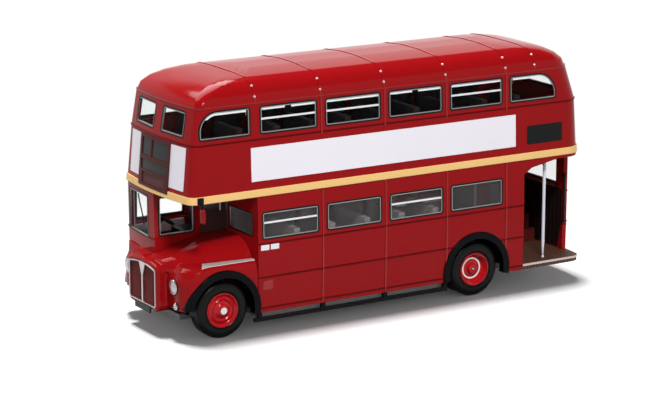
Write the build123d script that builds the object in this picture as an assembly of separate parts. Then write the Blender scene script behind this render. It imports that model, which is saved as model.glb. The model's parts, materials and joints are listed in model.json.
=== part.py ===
"""Scale model of a half-cab, open-platform double-decker bus. Lengths in millimetres.

Frame: +X forward, +Y to the nearside (the left of the bus), +Z up, ground at z = 0.
The model has one casting for each deck, a front cowl, clear glazing, moulded interiors,
a base plate, and two axles that turn in the base plate's bearings.
"""
import math
import os
from collections import namedtuple

from build123d import *

os.makedirs("parts", exist_ok=True)

# Overall plan: half width at the waist, ends of the upper deck, bulkhead behind the bonnet
HALF_WIDTH = 16.04
FRONT_X = 52.75
REAR_X = -55.4
BULKHEAD_X = 34.85
CAB_WALL_Y = 0.15

# Heights of the main lines
SILL_Z = 4.65
RAIL_Z = 12.85
SEAM_Z = 17.2
WAIST_Z = 21.3
LOWER_HEAD_Z = 27.8
DECK_Z = 31.3
BAND_TOP_Z = 33.0
FRONT_KNEE_Z = 44.3
UPPER_WAIST_Z = 45.1
UPPER_HEAD_Z = 51.6
GUTTER_Z = 52.4

# Walls, fits and what stands proud of the walls
WALL = 1.1
FIT = 0.04
SKIN = 0.01
LIP = 0.3
REBATE = 0.4
GLASS_THICK = 0.65
BAND_PROUD = 0.28
BOX_PROUD = 0.35
BLIND_PROUD = 0.12

# Side bays run back from the bulkhead at one pitch
BAY_PITCH = 16.75
BAY_COUNT = 4
PILLAR = 1.9
WINDOW_RADIUS = 0.8
CORNER_STEPS = 2
SWEEP_STEPS = 6
REAR_PILLAR_X = BULKHEAD_X - BAY_COUNT * BAY_PITCH

# Plan curves
BOW_FRONT = 95.0
BOW_REAR = 120.0
FRONT_CORNER = 1.9
REAR_CORNER = 5.0

# Wheels and axles
FRONT_AXLE_X = 43.55
REAR_AXLE_X = -23.95
TYRE_RADIUS = 6.45
AXLE_Z = TYRE_RADIUS
RIM_RADIUS = 3.95
AXLE_RADIUS = 0.8
AXLE_RUNNING = 0.06
WHEEL_INSET = 0.75
FRONT_TYRE_WIDTH = 4.2
REAR_TYRE_WIDTH = 6.8
TYRE_SHOULDER = 0.7
ARCH_RADIUS = 8.6
ARCH_LINER = 0.55
WHEEL_FACE_Y = HALF_WIDTH - WHEEL_INSET

# Rear platform and its opening
OPENING_FRONT_X = -37.3
OPENING_TOP_Z = 30.6
REAR_WALL_END_Y = 9.0
PLATFORM_Z = 6.0
PLATFORM_THICK = 1.35
PLATFORM_CORNER = 2.6
RAIL_RADIUS = 0.38

# Floors and seats
LOWER_FLOOR_Z = 9.0
UPPER_FLOOR_Z = 32.4
FLOOR_THICK = 0.9
SEAT_PITCH = 9.3
AISLE_HALF = 3.4
SALOON_GAP = 0.3

# Base plate
BASE_BOTTOM_Z = 3.4
BASE_CLEAR = 0.9

# Cowl, nose and grille
COWL_FRONT_X = FRONT_X + 0.65
COWL_CORNER = 4.2
WING_BOTTOM_Z = 7.0
WING_TOP_Z = 17.0
NOSE_X = FRONT_X + 2.85
NOSE_LENGTH = 5.6
NOSE_RIM = 0.85
NOSE_ROUND = 0.6
GRILLE_HALF = 6.35
GRILLE_BOTTOM_Z = 6.4
GRILLE_SHOULDER_Z = 15.2
GRILLE_TOP_Z = 15.95
GRILLE_CORNER = 0.7
GRILLE_DEPTH = 0.8
SLAT_RECESS = 0.4
SURROUND = 0.35
SURROUND_PROUD = 0.15

REACH = 2 * HALF_WIDTH
ACROSS = (-REACH, REACH)


# Plan sections, given as set-backs from the overall plan
Section = namedtuple("Section", "z front rear half r_front r_rear")


def section(z, front_back, rear_in, lean, r_front=FRONT_CORNER, r_rear=REAR_CORNER):
    """Plan section at a height, set back from the overall front, rear and side."""
    return Section(z, FRONT_X - front_back, REAR_X + rear_in, HALF_WIDTH - lean, r_front, r_rear)


LOWER_SECTIONS = [
    section(SILL_Z, 0.35, 0.1, 0.24),
    section(RAIL_Z, 0.35, 0.0, 0.0),
    section(WAIST_Z, 0.3, 0.0, 0.0),
    section(DECK_Z, 0.15, 0.0, 0.26),
]
UPPER_SECTIONS = [
    section(DECK_Z, 0.0, 0.0, 0.29),
    section(FRONT_KNEE_Z, 1.15, 0.6, 0.75, r_rear=5.2),
    section(GUTTER_Z, 2.5, 3.2, 1.04, r_rear=5.6),
]

# Roof: an elliptical shoulder that rises from the gutter all round, then a slight crown
GUTTER_STEP = 0.15
ROOF_RISE = 5.05
ROOF_WALL = 1.0
CROWN_Z = 57.95
CROWN_HALF = 3.5
SHOULDER_SIDE = 5.5
SHOULDER_FRONT = 14.0
SHOULDER_REAR = 11.5
SHOULDER_STEPS = (0, 18, 36, 53, 69, 82)
INNER_STEPS = (0, 40, 80)


def dome_sections(steps, inset=0.0):
    """Sections up the roof's shoulder to its crown, drawn in by a wall thickness."""
    low = UPPER_SECTIONS[-1]
    rows = []
    for degrees in steps:
        angle = math.radians(degrees)
        out, up = 1 - math.cos(angle), math.sin(angle)
        rows.append(
            Section(
                GUTTER_Z + (ROOF_RISE - inset) * up,
                low.front - GUTTER_STEP - inset - SHOULDER_FRONT * out,
                low.rear + GUTTER_STEP + inset + SHOULDER_REAR * out,
                low.half - GUTTER_STEP - inset - SHOULDER_SIDE * out,
                low.r_front + 2.4 * out,
                low.r_rear + 0.6 * out,
            )
        )
    last = rows[-1]
    drawn = last.half - CROWN_HALF
    rows.append(Section(CROWN_Z - inset, last.front - drawn, last.rear + drawn, CROWN_HALF, 2.4, 2.4))
    return rows


def block(x, y, z):
    """Box between the two ends given for each axis."""
    size = [abs(pair[1] - pair[0]) for pair in (x, y, z)]
    middle = [(pair[0] + pair[1]) / 2 for pair in (x, y, z)]
    return Pos(*middle) * Box(*size)


def rod(radius, start, axis, length):
    """Cylinder of a radius from a start point along +X, +Y or +Z."""
    turn = {"X": Rot(0, 90, 0), "Y": Rot(-90, 0, 0), "Z": Rot(0, 0, 0)}[axis]
    return Pos(*start) * turn * Pos(0, 0, length / 2) * Cylinder(radius, length)


def ring(row, inset=0.0, z=None):
    """Closed plan outline with a bowed front and rear and four corner arcs."""
    level = row.z if z is None else z
    half = row.half - inset

    def end(tip, bow, radius, way):
        """Corner centre, corner middle and tangent point of one end, nearside."""
        span = half - radius
        bow_centre = tip - way * bow
        centre = bow_centre + way * math.sqrt((bow - radius) ** 2 - span**2)
        angle = math.atan2(span, way * (centre - bow_centre))
        middle = (math.pi / 2 + angle) / 2
        belly = (centre + way * radius * math.cos(middle), span + radius * math.sin(middle))
        tangent = (bow_centre + way * bow * math.cos(angle), bow * math.sin(angle))
        return centre, belly, tangent

    front_tip, rear_tip = row.front - inset, row.rear + inset
    front = end(front_tip, BOW_FRONT - inset, row.r_front - inset, 1)
    rear = end(rear_tip, BOW_REAR - inset, row.r_rear - inset, -1)

    def near(pair):
        return (pair[0], pair[1], level)

    def off(pair):
        return (pair[0], -pair[1], level)

    front_side, rear_side = (front[0], half), (rear[0], half)
    return Wire(
        [
            Line(near(rear_side), near(front_side)),
            ThreePointArc(near(front_side), near(front[1]), near(front[2])),
            ThreePointArc(near(front[2]), (front_tip, 0, level), off(front[2])),
            ThreePointArc(off(front[2]), off(front[1]), off(front_side)),
            Line(off(front_side), off(rear_side)),
            ThreePointArc(off(rear_side), off(rear[1]), off(rear[2])),
            ThreePointArc(off(rear[2]), (rear_tip, 0, level), near(rear[2])),
            ThreePointArc(near(rear[2]), near(rear[1]), near(rear_side)),
        ]
    )


def between(rows, z):
    """Plan section at a height, by straight lines between the listed ones."""
    for low, high in zip(rows, rows[1:]):
        if low.z <= z <= high.z:
            share = (z - low.z) / (high.z - low.z)
            return Section(*[a + share * (b - a) for a, b in zip(low, high)])
    raise ValueError("height outside the sections")


def body(rows, inset=0.0, extra=0.0):
    """Solid through plan sections with straight rules; extra lengthens both ends."""
    wires = [ring(row, inset) for row in rows]
    wires[0] = ring(rows[0], inset, rows[0].z - extra)
    wires[-1] = ring(rows[-1], inset, rows[-1].z + extra)
    return Solid.make_loft(wires, True)


def shell(rows, low, high, outer, inner):
    """Skin of a body between two insets and two heights."""
    heights = [low] + [row.z for row in rows if low < row.z < high] + [high]
    cut = [between(rows, z) for z in heights]
    return body(cut, outer) - body(cut, inner, extra=0.1)


def solids_of(shapes):
    """All solids of some shapes, as one compound."""
    return Compound([solid for shape in shapes for solid in shape.solids()])


def save(name, shape):
    """Write one node's STEP file."""
    export_step(shape, f"parts/{name}.step")


# Windows: a span along the wall, a height, a corner radius and the swept corner, if any
Window = namedtuple("Window", "low high bottom top radius sweep_end sweep")


def plain(low, high, bottom, top, radius=WINDOW_RADIUS):
    """Window with four like corners."""
    return Window(low, high, bottom, top, radius, 0, 0.0)


def outline(row):
    """Face of a window about its own centre, its corners rounded in a few straight steps."""
    half_width, half_height = (row.high - row.low) / 2, (row.top - row.bottom) / 2
    points = []
    for quarter, (side, up) in enumerate([(1, 1), (-1, 1), (-1, -1), (1, -1)]):
        swept = up > 0 and side == row.sweep_end
        radius, steps = (row.sweep, SWEEP_STEPS) if swept else (row.radius, CORNER_STEPS)
        for step in range(steps + 1):
            angle = math.pi / 2 * (quarter + step / steps)
            across_point = side * (half_width - radius) + radius * math.cos(angle)
            points.append((across_point, up * (half_height - radius) + radius * math.sin(angle)))
    return make_face(Polyline(*points, close=True))


def across(row, y=ACROSS):
    """Prism of a side window through the walls between two values of y."""
    middle = ((row.low + row.high) / 2, y[0], (row.bottom + row.top) / 2)
    plane = Plane(middle, x_dir=(1, 0, 0), z_dir=(0, -1, 0))
    return extrude(plane * outline(row), -(y[1] - y[0]))


def along(row, x):
    """Prism of an end window through the walls between two values of x."""
    middle = (x[0], (row.low + row.high) / 2, (row.bottom + row.top) / 2)
    plane = Plane(middle, x_dir=(0, 1, 0), z_dir=(1, 0, 0))
    return extrude(plane * outline(row), x[1] - x[0])


def square(row, span, along_x, grow):
    """Square-cornered block of a window, grown on all sides, for its rebate or pane."""
    width = (row.low - grow, row.high + grow)
    height = (row.bottom - grow, row.top + grow)
    return block(span, width, height) if along_x else block(width, span, height)


FRONT_SPAN = (FRONT_X - 8, FRONT_X + 8)
REAR_SPAN = (REAR_X - 8, REAR_X + 9)
BAYS = [
    (BULKHEAD_X - (bay + 1) * BAY_PITCH + PILLAR / 2, BULKHEAD_X - bay * BAY_PITCH - PILLAR / 2)
    for bay in range(BAY_COUNT)
]
UPPER_SIDE = [plain(low, high, UPPER_WAIST_Z, UPPER_HEAD_Z) for low, high in BAYS]
UPPER_SIDE += [
    Window(BULKHEAD_X + 1.25, FRONT_X - 3.6, UPPER_WAIST_Z, UPPER_HEAD_Z, WINDOW_RADIUS, 1, 4.6),
    Window(REAR_X + 8.8, REAR_PILLAR_X - PILLAR / 2, UPPER_WAIST_Z, UPPER_HEAD_Z, WINDOW_RADIUS, -1, 5.4),
]
FRONT_WINDOW_HALVES = (1.5, 11.2)
UPPER_FRONT = [
    plain(*FRONT_WINDOW_HALVES, UPPER_WAIST_Z + 0.2, UPPER_HEAD_Z - 0.3),
    plain(-FRONT_WINDOW_HALVES[1], -FRONT_WINDOW_HALVES[0], UPPER_WAIST_Z + 0.2, UPPER_HEAD_Z - 0.3),
]
UPPER_REAR = [plain(-8.2, 8.2, UPPER_WAIST_Z, UPPER_HEAD_Z - 1.0, 1.6)]
LOWER_SIDE = [plain(low, high, WAIST_Z, LOWER_HEAD_Z) for low, high in BAYS]
LOWER_REAR = [plain(-9.2, REAR_WALL_END_Y - 3.8, WAIST_Z, LOWER_HEAD_Z, 1.6)]
CAB_HEAD_Z = 30.2
WINDSCREEN = [plain(CAB_WALL_Y - 13.9, CAB_WALL_Y - 2.75, WAIST_Z - 1.2, CAB_HEAD_Z)]
CAB_OFFSIDE = [
    plain(BULKHEAD_X + 1.6, BULKHEAD_X + 9.4, WAIST_Z, CAB_HEAD_Z),
    plain(BULKHEAD_X + 10.6, FRONT_X - 3.5, WAIST_Z, CAB_HEAD_Z),
]
CAB_NEARSIDE = plain(BULKHEAD_X + 7.4, FRONT_X - 1.25, WAIST_Z - 0.4, CAB_HEAD_Z)
BULKHEAD_WINDOW = plain(CAB_WALL_Y + 2.4, HALF_WIDTH - 2.1, WAIST_Z + 0.3, LOWER_HEAD_Z - 0.6)
OFFSIDE_SPAN = (-REACH, -HALF_WIDTH / 2)

# Each group: its windows, the span of its prisms, and whether they run along the bus
Group = namedtuple("Group", "windows span along_x")
UPPER_GROUPS = [
    Group(UPPER_SIDE, ACROSS, False),
    Group(UPPER_FRONT, FRONT_SPAN, True),
    Group(UPPER_REAR, REAR_SPAN, True),
]
LOWER_GROUPS = [Group(LOWER_SIDE, ACROSS, False), Group(LOWER_REAR, REAR_SPAN, True)]
CAB_GROUPS = [Group(WINDSCREEN, FRONT_SPAN, True), Group(CAB_OFFSIDE, OFFSIDE_SPAN, False)]


def glaze(casting, rows, groups):
    """Cut windows with glazing rebates in a casting; return it and the panes."""
    low = min(w.bottom for g in groups for w in g.windows) - 2 * REBATE
    high = max(w.top for g in groups for w in g.windows) + 2 * REBATE
    levels = [low] + [row.z for row in rows if low < row.z < high] + [min(high, rows[-1].z)]
    behind_lip = body([between(rows, z) for z in levels], LIP)
    glass = shell(rows, levels[0], levels[-1], LIP + SKIN, LIP + SKIN + GLASS_THICK)
    middle = block((REAR_X, NOSE_X), (3 * WALL - HALF_WIDTH, HALF_WIDTH - 3 * WALL), (0, rows[-1].z))
    panes = []
    for group in groups:
        for row in group.windows:
            prism = along(row, group.span) if group.along_x else across(row, group.span)
            rebate = square(row, group.span, group.along_x, REBATE)
            pane = square(row, group.span, group.along_x, REBATE - FIT)
            if not group.along_x:
                prism, rebate, pane = prism - middle, rebate - middle, pane - middle
            casting -= prism
            casting -= behind_lip & rebate
            panes.append(glass & pane)
    return casting, panes


# Upper deck casting: walls, canopy over the bonnet, domed roof
upper_outer = body(UPPER_SECTIONS) + body(dome_sections(SHOULDER_STEPS))
upper_inner = body(UPPER_SECTIONS, WALL, extra=SKIN) + body(dome_sections(INNER_STEPS, ROOF_WALL))
canopy_top = UPPER_FLOOR_Z - FLOOR_THICK - FIT
canopy_rows = [between(UPPER_SECTIONS, z) for z in (DECK_Z, canopy_top)]
canopy = body(canopy_rows, WALL / 2) & block((BULKHEAD_X - WALL, REACH * 3), ACROSS, (DECK_Z, GUTTER_Z))
upper_casting, upper_panes = glaze(upper_outer - upper_inner + canopy, UPPER_SECTIONS, UPPER_GROUPS)
save("upper_deck_casting", upper_casting)
save("upper_glazing", solids_of(upper_panes))

# Destination box on the front, with three blinds and an air intake behind its frame
BOX_HALF = 6.9
BOX_BOTTOM_Z = BAND_TOP_Z - 0.8
BOX_TOP_Z = BOX_BOTTOM_Z + 11.5
Panel = namedtuple("Panel", "left right bottom top")
BLINDS = [
    Panel(-6.0, -1.6, BOX_TOP_Z - 4.6, BOX_TOP_Z - 0.7),
    Panel(-1.1, 6.2, BOX_TOP_Z - 4.6, BOX_TOP_Z - 0.7),
    Panel(-6.0, 6.2, BOX_TOP_Z - 7.8, BOX_TOP_Z - 5.5),
]
INTAKE = [Panel(-5.2, 5.2, BOX_BOTTOM_Z + 0.6, BOX_TOP_Z - 8.4)]


def panel_block(panel, shrink=0.0):
    """Block through the front wall for one panel of the destination box."""
    y = (panel.left + shrink, panel.right - shrink)
    return block(FRONT_SPAN, y, (panel.bottom + shrink, panel.top - shrink))


def front_skin(proud):
    """Skin that lies on the front of the upper deck."""
    return shell(UPPER_SECTIONS, BOX_BOTTOM_Z - 0.3, BOX_TOP_Z + 0.3, -proud, -SKIN)


box = front_skin(BOX_PROUD) & panel_block(Panel(-BOX_HALF, BOX_HALF, BOX_BOTTOM_Z, BOX_TOP_Z))
box -= [panel_block(panel) for panel in BLINDS + INTAKE]
save("destination_box", box)
blind_skin = front_skin(BLIND_PROUD)
save("destination_blinds", solids_of([blind_skin & panel_block(panel, FIT) for panel in BLINDS]))
save("air_intake", solids_of([blind_skin & panel_block(panel, FIT) for panel in INTAKE]))

# Cream band round the deck line, notched under the destination box
band = shell(UPPER_SECTIONS, DECK_Z, BAND_TOP_Z, -BAND_PROUD, -SKIN)
band -= block(FRONT_SPAN, (-BOX_HALF - FIT, BOX_HALF + FIT), (BOX_BOTTOM_Z - FIT, BOX_TOP_Z))
save("waist_band", band)

# Lower deck casting: walls, bulkhead, cab wall, platform opening, rear wheel arches
rear_arch = rod(ARCH_RADIUS, (REAR_AXLE_X, -REACH, AXLE_Z), "Y", 2 * REACH)
lower_casting = body(LOWER_SECTIONS) - body(LOWER_SECTIONS, WALL, extra=SKIN)
lower_casting -= block((BULKHEAD_X, NOSE_X + 9), ACROSS, (0, SEAM_Z))
lower_casting -= block((BULKHEAD_X, NOSE_X + 9), (CAB_WALL_Y, REACH), (0, DECK_Z + 1))
wall_middle = LOWER_SECTIONS[0].half - WALL / 2
lower_casting += block((BULKHEAD_X - WALL, BULKHEAD_X), (-wall_middle, wall_middle), (LOWER_FLOOR_Z, DECK_Z))
cab_wall_x = (BULKHEAD_X - WALL / 2, LOWER_SECTIONS[0].front - WALL / 2)
lower_casting += block(cab_wall_x, (CAB_WALL_Y - WALL, CAB_WALL_Y), (SEAM_Z, DECK_Z))
door_top = [
    (OPENING_FRONT_X, 0),
    (OPENING_FRONT_X, OPENING_TOP_Z - 2.8),
    (OPENING_FRONT_X - 2.2, OPENING_TOP_Z - 1.4),
    (OPENING_FRONT_X - 9.8, OPENING_TOP_Z),
    (REAR_X - 5, OPENING_TOP_Z),
    (REAR_X - 5, 0),
]
doorway = extrude(Plane.XZ * make_face(Polyline(*door_top, close=True)), -REACH)
lower_casting -= doorway & block((REAR_X - 5, 0), (REAR_WALL_END_Y, REACH), (0, DECK_Z))
lower_casting -= rear_arch
lower_casting, lower_panes = glaze(lower_casting, LOWER_SECTIONS, LOWER_GROUPS)
lower_casting, cab_panes = glaze(lower_casting, LOWER_SECTIONS, CAB_GROUPS)


def flat_glaze(casting, row, face, along_x):
    """Cut one window in a flat wall whose outer face looks along +X or +Y."""
    span = (face - WALL - FIT, face + WALL)
    prism = along(row, span) if along_x else across(row, span)
    casting = casting - prism - square(row, (span[0], face - LIP), along_x, REBATE)
    pane_span = (face - LIP - SKIN - GLASS_THICK, face - LIP - SKIN)
    return casting, square(row, pane_span, along_x, REBATE - FIT)


lower_casting, bulkhead_pane = flat_glaze(lower_casting, BULKHEAD_WINDOW, BULKHEAD_X, True)
lower_casting, cab_side_pane = flat_glaze(lower_casting, CAB_NEARSIDE, CAB_WALL_Y, False)
TAIL_LAMP_RADIUS = 0.65
TAIL_LAMPS = [(REAR_X + 0.75, y, RAIL_Z - 1.0) for y in (REAR_WALL_END_Y - 1.3, -HALF_WIDTH + 5.2)]
for spot in TAIL_LAMPS:
    lower_casting -= rod(TAIL_LAMP_RADIUS + FIT, (spot[0] - 3, spot[1], spot[2]), "X", 3)
save("lower_deck_casting", lower_casting)
save("lower_glazing", solids_of(lower_panes + [bulkhead_pane]))
save("cab_glazing", solids_of(cab_panes + [cab_side_pane]))
save(
    "tail_lamps",
    solids_of([rod(TAIL_LAMP_RADIUS, (x - 1.0, y, z), "X", 1.0 - SKIN) for x, y, z in TAIL_LAMPS]),
)

# Front cowl: offside half under the cab, nearside wing with a rounded top, nose, bonnet
Cowl = namedtuple("Cowl", "z front side corner")
WING_RISE = WING_TOP_Z - RAIL_Z
WING_FRONT_DRAW = 3.6
WING_SIDE_DRAW = 1.3
WING_STEPS = (0, 20, 40, 60, 80)
CAB_PANEL_Z = RAIL_Z + 1.9
CAB_PANEL_X = LOWER_SECTIONS[1].front
OFFSIDE_COWL = [
    Cowl(WING_BOTTOM_Z, COWL_FRONT_X - 0.2, HALF_WIDTH - 0.16, COWL_CORNER),
    Cowl(RAIL_Z, COWL_FRONT_X, HALF_WIDTH, COWL_CORNER),
    Cowl(CAB_PANEL_Z, CAB_PANEL_X + 0.1, HALF_WIDTH, COWL_CORNER),
    Cowl(SEAM_Z, CAB_PANEL_X, HALF_WIDTH, COWL_CORNER),
]
NEARSIDE_COWL = OFFSIDE_COWL[:1] + [
    Cowl(
        RAIL_Z + WING_RISE * math.sin(math.radians(angle)),
        COWL_FRONT_X - WING_FRONT_DRAW * (1 - math.cos(math.radians(angle))),
        HALF_WIDTH - WING_SIDE_DRAW * (1 - math.cos(math.radians(angle))),
        COWL_CORNER,
    )
    for angle in WING_STEPS
]


def half_plan(row, side):
    """Half plan outline of the cowl from the bulkhead to its front panel."""
    corner, tip = row.front - row.corner, row.side - row.corner
    belly = row.corner * math.sqrt(0.5)
    points = [(BULKHEAD_X, 0), (row.front, 0), (row.front, tip), (corner, row.side), (BULKHEAD_X, row.side)]
    start, nose, panel, flank, rear = [(x, side * y, row.z) for x, y in points]
    middle = (corner + belly, side * (tip + belly), row.z)
    return Wire(
        [
            Line(start, nose),
            Line(nose, panel),
            ThreePointArc(panel, middle, flank),
            Line(flank, rear),
            Line(rear, start),
        ]
    )


Bonnet = namedtuple("Bonnet", "x top shoulder foot")
BONNET_FOOT_Z = RAIL_Z + WING_RISE / 2
BONNET = [
    Bonnet(BULKHEAD_X, WAIST_Z - 0.5, 6.8, 14.0),
    Bonnet(BULKHEAD_X + 8.0, WAIST_Z - 1.3, 6.5, 13.2),
    Bonnet(FRONT_X - 4.5, WAIST_Z - 2.5, 6.0, 12.0),
    Bonnet(FRONT_X - 1.2, WAIST_Z - 3.4, 5.2, 10.0),
    Bonnet(FRONT_X + 1.0, WAIST_Z - 4.4, 4.2, 7.6),
]


def bonnet_section(row):
    """Upright section of the bonnet: flat top by the cab wall, rounded side."""
    inner, foot_z = CAB_WALL_Y + FIT, BONNET_FOOT_Z
    belly_y = row.shoulder + 0.7 * (row.foot - row.shoulder)
    belly = (row.x, belly_y, foot_z + 0.72 * (row.top - foot_z))
    low, high = (row.x, inner, foot_z), (row.x, inner, row.top)
    shoulder, foot = (row.x, row.shoulder, row.top), (row.x, row.foot, foot_z)
    side = ThreePointArc(shoulder, belly, foot)
    return Wire([Line(low, high), Line(high, shoulder), side, Line(foot, low)])


def grille_face(inset=0.0):
    """Grille outline with an arched top and round corners, about the centre line."""
    half, bottom = GRILLE_HALF - inset, GRILLE_BOTTOM_Z + inset
    shoulder, top = GRILLE_SHOULDER_Z - inset, GRILLE_TOP_Z - inset
    edges = [
        Line((-half, shoulder), (-half, bottom)),
        Line((-half, bottom), (half, bottom)),
        Line((half, bottom), (half, shoulder)),
        ThreePointArc((half, shoulder), (0, top), (-half, shoulder)),
    ]
    outline_face = make_face(Wire(edges))
    return fillet(outline_face.vertices(), GRILLE_CORNER - inset)


def grille_prism(inset, x):
    """Grille outline drawn along X between two values of x."""
    return extrude(Plane.YZ.offset(x[0]) * grille_face(inset), x[1] - x[0])


def nose_solid():
    """Nose: the grille's outline with a rim round it, drawn back to the cowl, front edge rounded."""
    nose = grille_prism(-NOSE_RIM, (NOSE_X - NOSE_LENGTH, NOSE_X))
    return fillet(nose.faces().sort_by(Axis.X)[-1].edges(), NOSE_ROUND)


# Cover over the filler cap, on the offside half of the nose
CAP_COVER_Y = (-6.3, -0.7)

# Lamps seat in pockets of the cowl's front panel
Lamp = namedtuple("Lamp", "y z radius depth")
LAMP_SEAT_X = COWL_FRONT_X - 0.9
LAMP_DOME = 0.5
DOME_STEPS = 2
HEADLAMPS = [Lamp(side * 10.8, RAIL_Z - 0.65, 1.65, 1.5) for side in (-1, 1)]
FOG_LAMPS = [Lamp(11.8, WING_BOTTOM_Z + 0.95, 0.75, 1.5)]


def lamp(row):
    """Round lamp: short barrel with a domed lens, turned about its own axis."""
    points = [(0, 0), (row.radius, 0)]
    for step in range(DOME_STEPS):
        angle = math.pi / 2 * step / DOME_STEPS
        points.append((row.radius * math.cos(angle), row.depth - LAMP_DOME * (1 - math.sin(angle))))
    points.append((0, row.depth))
    turned_lamp = revolve(make_face(Polyline(*points, close=True)), Axis.Y)
    return Pos(LAMP_SEAT_X, row.y, row.z) * Rot(0, 0, -90) * turned_lamp


offside = Solid.make_loft([half_plan(row, -1) for row in OFFSIDE_COWL], True)
nearside = Solid.make_loft([half_plan(row, 1) for row in NEARSIDE_COWL], True)
bonnet = Solid.make_loft([bonnet_section(row) for row in BONNET], True)
cap_cover = block((NOSE_X - NOSE_LENGTH, NOSE_X - NOSE_ROUND), CAP_COVER_Y, (GRILLE_SHOULDER_Z, SEAM_Z))
cowl = offside + nearside + nose_solid() + bonnet + cap_cover
cowl -= block((BULKHEAD_X - 1, COWL_FRONT_X - 0.6), (-REACH, CAB_WALL_Y), (SEAM_Z, DECK_Z))
hollow_x = (BULKHEAD_X + WALL, COWL_FRONT_X - 3.0)
cowl -= block(hollow_x, (WALL - HALF_WIDTH, HALF_WIDTH - WALL), (0, WING_TOP_Z - 1.7))
cowl -= rod(ARCH_RADIUS, (FRONT_AXLE_X, -REACH, AXLE_Z), "Y", 2 * REACH)
cowl -= block((BULKHEAD_X - 1, FRONT_AXLE_X), ACROSS, (0, AXLE_Z))
cowl -= grille_prism(0.0, (NOSE_X - GRILLE_DEPTH, NOSE_X + 1))
for row in HEADLAMPS + FOG_LAMPS:
    cowl -= rod(row.radius + FIT, (LAMP_SEAT_X, row.y, row.z), "X", 9)
save("front_cowl", cowl)
save("headlamps", solids_of([lamp(row) for row in HEADLAMPS]))
save("fog_lamp", solids_of([lamp(row) for row in FOG_LAMPS]))

# Grille: backing with upright slats, and a bright surround with a bar that widens upwards
SLAT_PITCH = 0.8
SLAT_HALF = 0.22
GRILLE_SHEET = 0.2
BAR_HALF = 0.28
BAR_FLARE = 1.5
BAR_FLARE_Z = GRILLE_TOP_Z - 3.2
grille_back = NOSE_X - GRILLE_DEPTH
slat_field = grille_prism(FIT, (grille_back, NOSE_X - SLAT_RECESS))
grille = grille_prism(FIT, (grille_back, grille_back + GRILLE_SHEET))
slat_count = int(2 * GRILLE_HALF / SLAT_PITCH)
for index in range(slat_count):
    y = (index - (slat_count - 1) / 2) * SLAT_PITCH
    slat_y = (y - SLAT_HALF, y + SLAT_HALF)
    slat = block((grille_back, NOSE_X - SLAT_RECESS), slat_y, (GRILLE_BOTTOM_Z, GRILLE_TOP_Z))
    grille += slat & slat_field
save("grille", grille)
surround_x = (NOSE_X - SLAT_RECESS + SKIN, NOSE_X + SURROUND_PROUD)
surround = grille_prism(FIT, surround_x) - grille_prism(SURROUND, (surround_x[0] - 1, surround_x[1] + 1))
bar_outline = [
    (-BAR_HALF, GRILLE_BOTTOM_Z),
    (BAR_HALF, GRILLE_BOTTOM_Z),
    (BAR_HALF, BAR_FLARE_Z),
    (BAR_FLARE, GRILLE_TOP_Z),
    (-BAR_FLARE, GRILLE_TOP_Z),
    (-BAR_HALF, BAR_FLARE_Z),
]
bar_face = Plane.YZ.offset(surround_x[0]) * make_face(Polyline(*bar_outline, close=True))
surround += extrude(bar_face, surround_x[1] - surround_x[0]) & grille_prism(FIT, surround_x)
save("grille_surround", surround)


# Seats, one profile drawn across the bus
SEAT_DEPTH = 4.6
SEAT_BACK = 1.5
SEAT_RAKE = 0.7
CUSHION_RISE = 4.6


def seat(x, y, floor, back):
    """Double seat on a plinth, facing forward: cushion and raked back."""
    plinth, cushion = floor - FLOOR_THICK / 2, floor + CUSHION_RISE
    profile = [
        (x, plinth),
        (x + SEAT_DEPTH, plinth),
        (x + SEAT_DEPTH, cushion),
        (x + SEAT_BACK, cushion),
        (x + SEAT_BACK - SEAT_RAKE, back),
        (x - SEAT_RAKE, back),
        (x, cushion),
    ]
    face = Plane.XZ * make_face(Polyline(*profile, close=True))
    return Pos(0, y[0], 0) * extrude(face, -(y[1] - y[0]))


# Lower saloon moulding: floor, rows of seats, benches over the arches, rear partition
LOWER_ROWS = 5
LOWER_BACK_Z = WAIST_Z + 1.2
BENCH_TOP_Z = AXLE_Z + ARCH_RADIUS + 2.0
saloon_half = LOWER_SECTIONS[0].half - WALL - SALOON_GAP
saloon_x = (OPENING_FRONT_X + 0.2, BULKHEAD_X - WALL - FIT)
lower_saloon = block(saloon_x, (-saloon_half, saloon_half), (LOWER_FLOOR_Z - FLOOR_THICK, LOWER_FLOOR_Z))
bench_x = (REAR_AXLE_X - ARCH_RADIUS - 1, REAR_AXLE_X + ARCH_RADIUS - 2.2)
for side in (-1, 1):
    seat_y = sorted((side * AISLE_HALF, side * saloon_half))
    for index in range(LOWER_ROWS):
        x = BULKHEAD_X - 11.0 - index * SEAT_PITCH
        lower_saloon += seat(x, seat_y, LOWER_FLOOR_Z, LOWER_BACK_Z)
    bench_y = (side * (saloon_half - 4.6), side * saloon_half)
    lower_saloon += block(bench_x, bench_y, (LOWER_FLOOR_Z, BENCH_TOP_Z))
    partition_x = (saloon_x[0], saloon_x[0] + 0.8)
    lower_saloon += block(partition_x, seat_y, (LOWER_FLOOR_Z, LOWER_HEAD_Z - 2.6))
well_inner = WHEEL_FACE_Y - REAR_TYRE_WIDTH - 0.7
wells = rod(ARCH_RADIUS + 0.1, (REAR_AXLE_X, -REACH, AXLE_Z), "Y", 2 * REACH)
wells -= block((REAR_X, FRONT_X), (-well_inner, well_inner), (0, DECK_Z))
save("lower_saloon", lower_saloon - wells)

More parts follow.
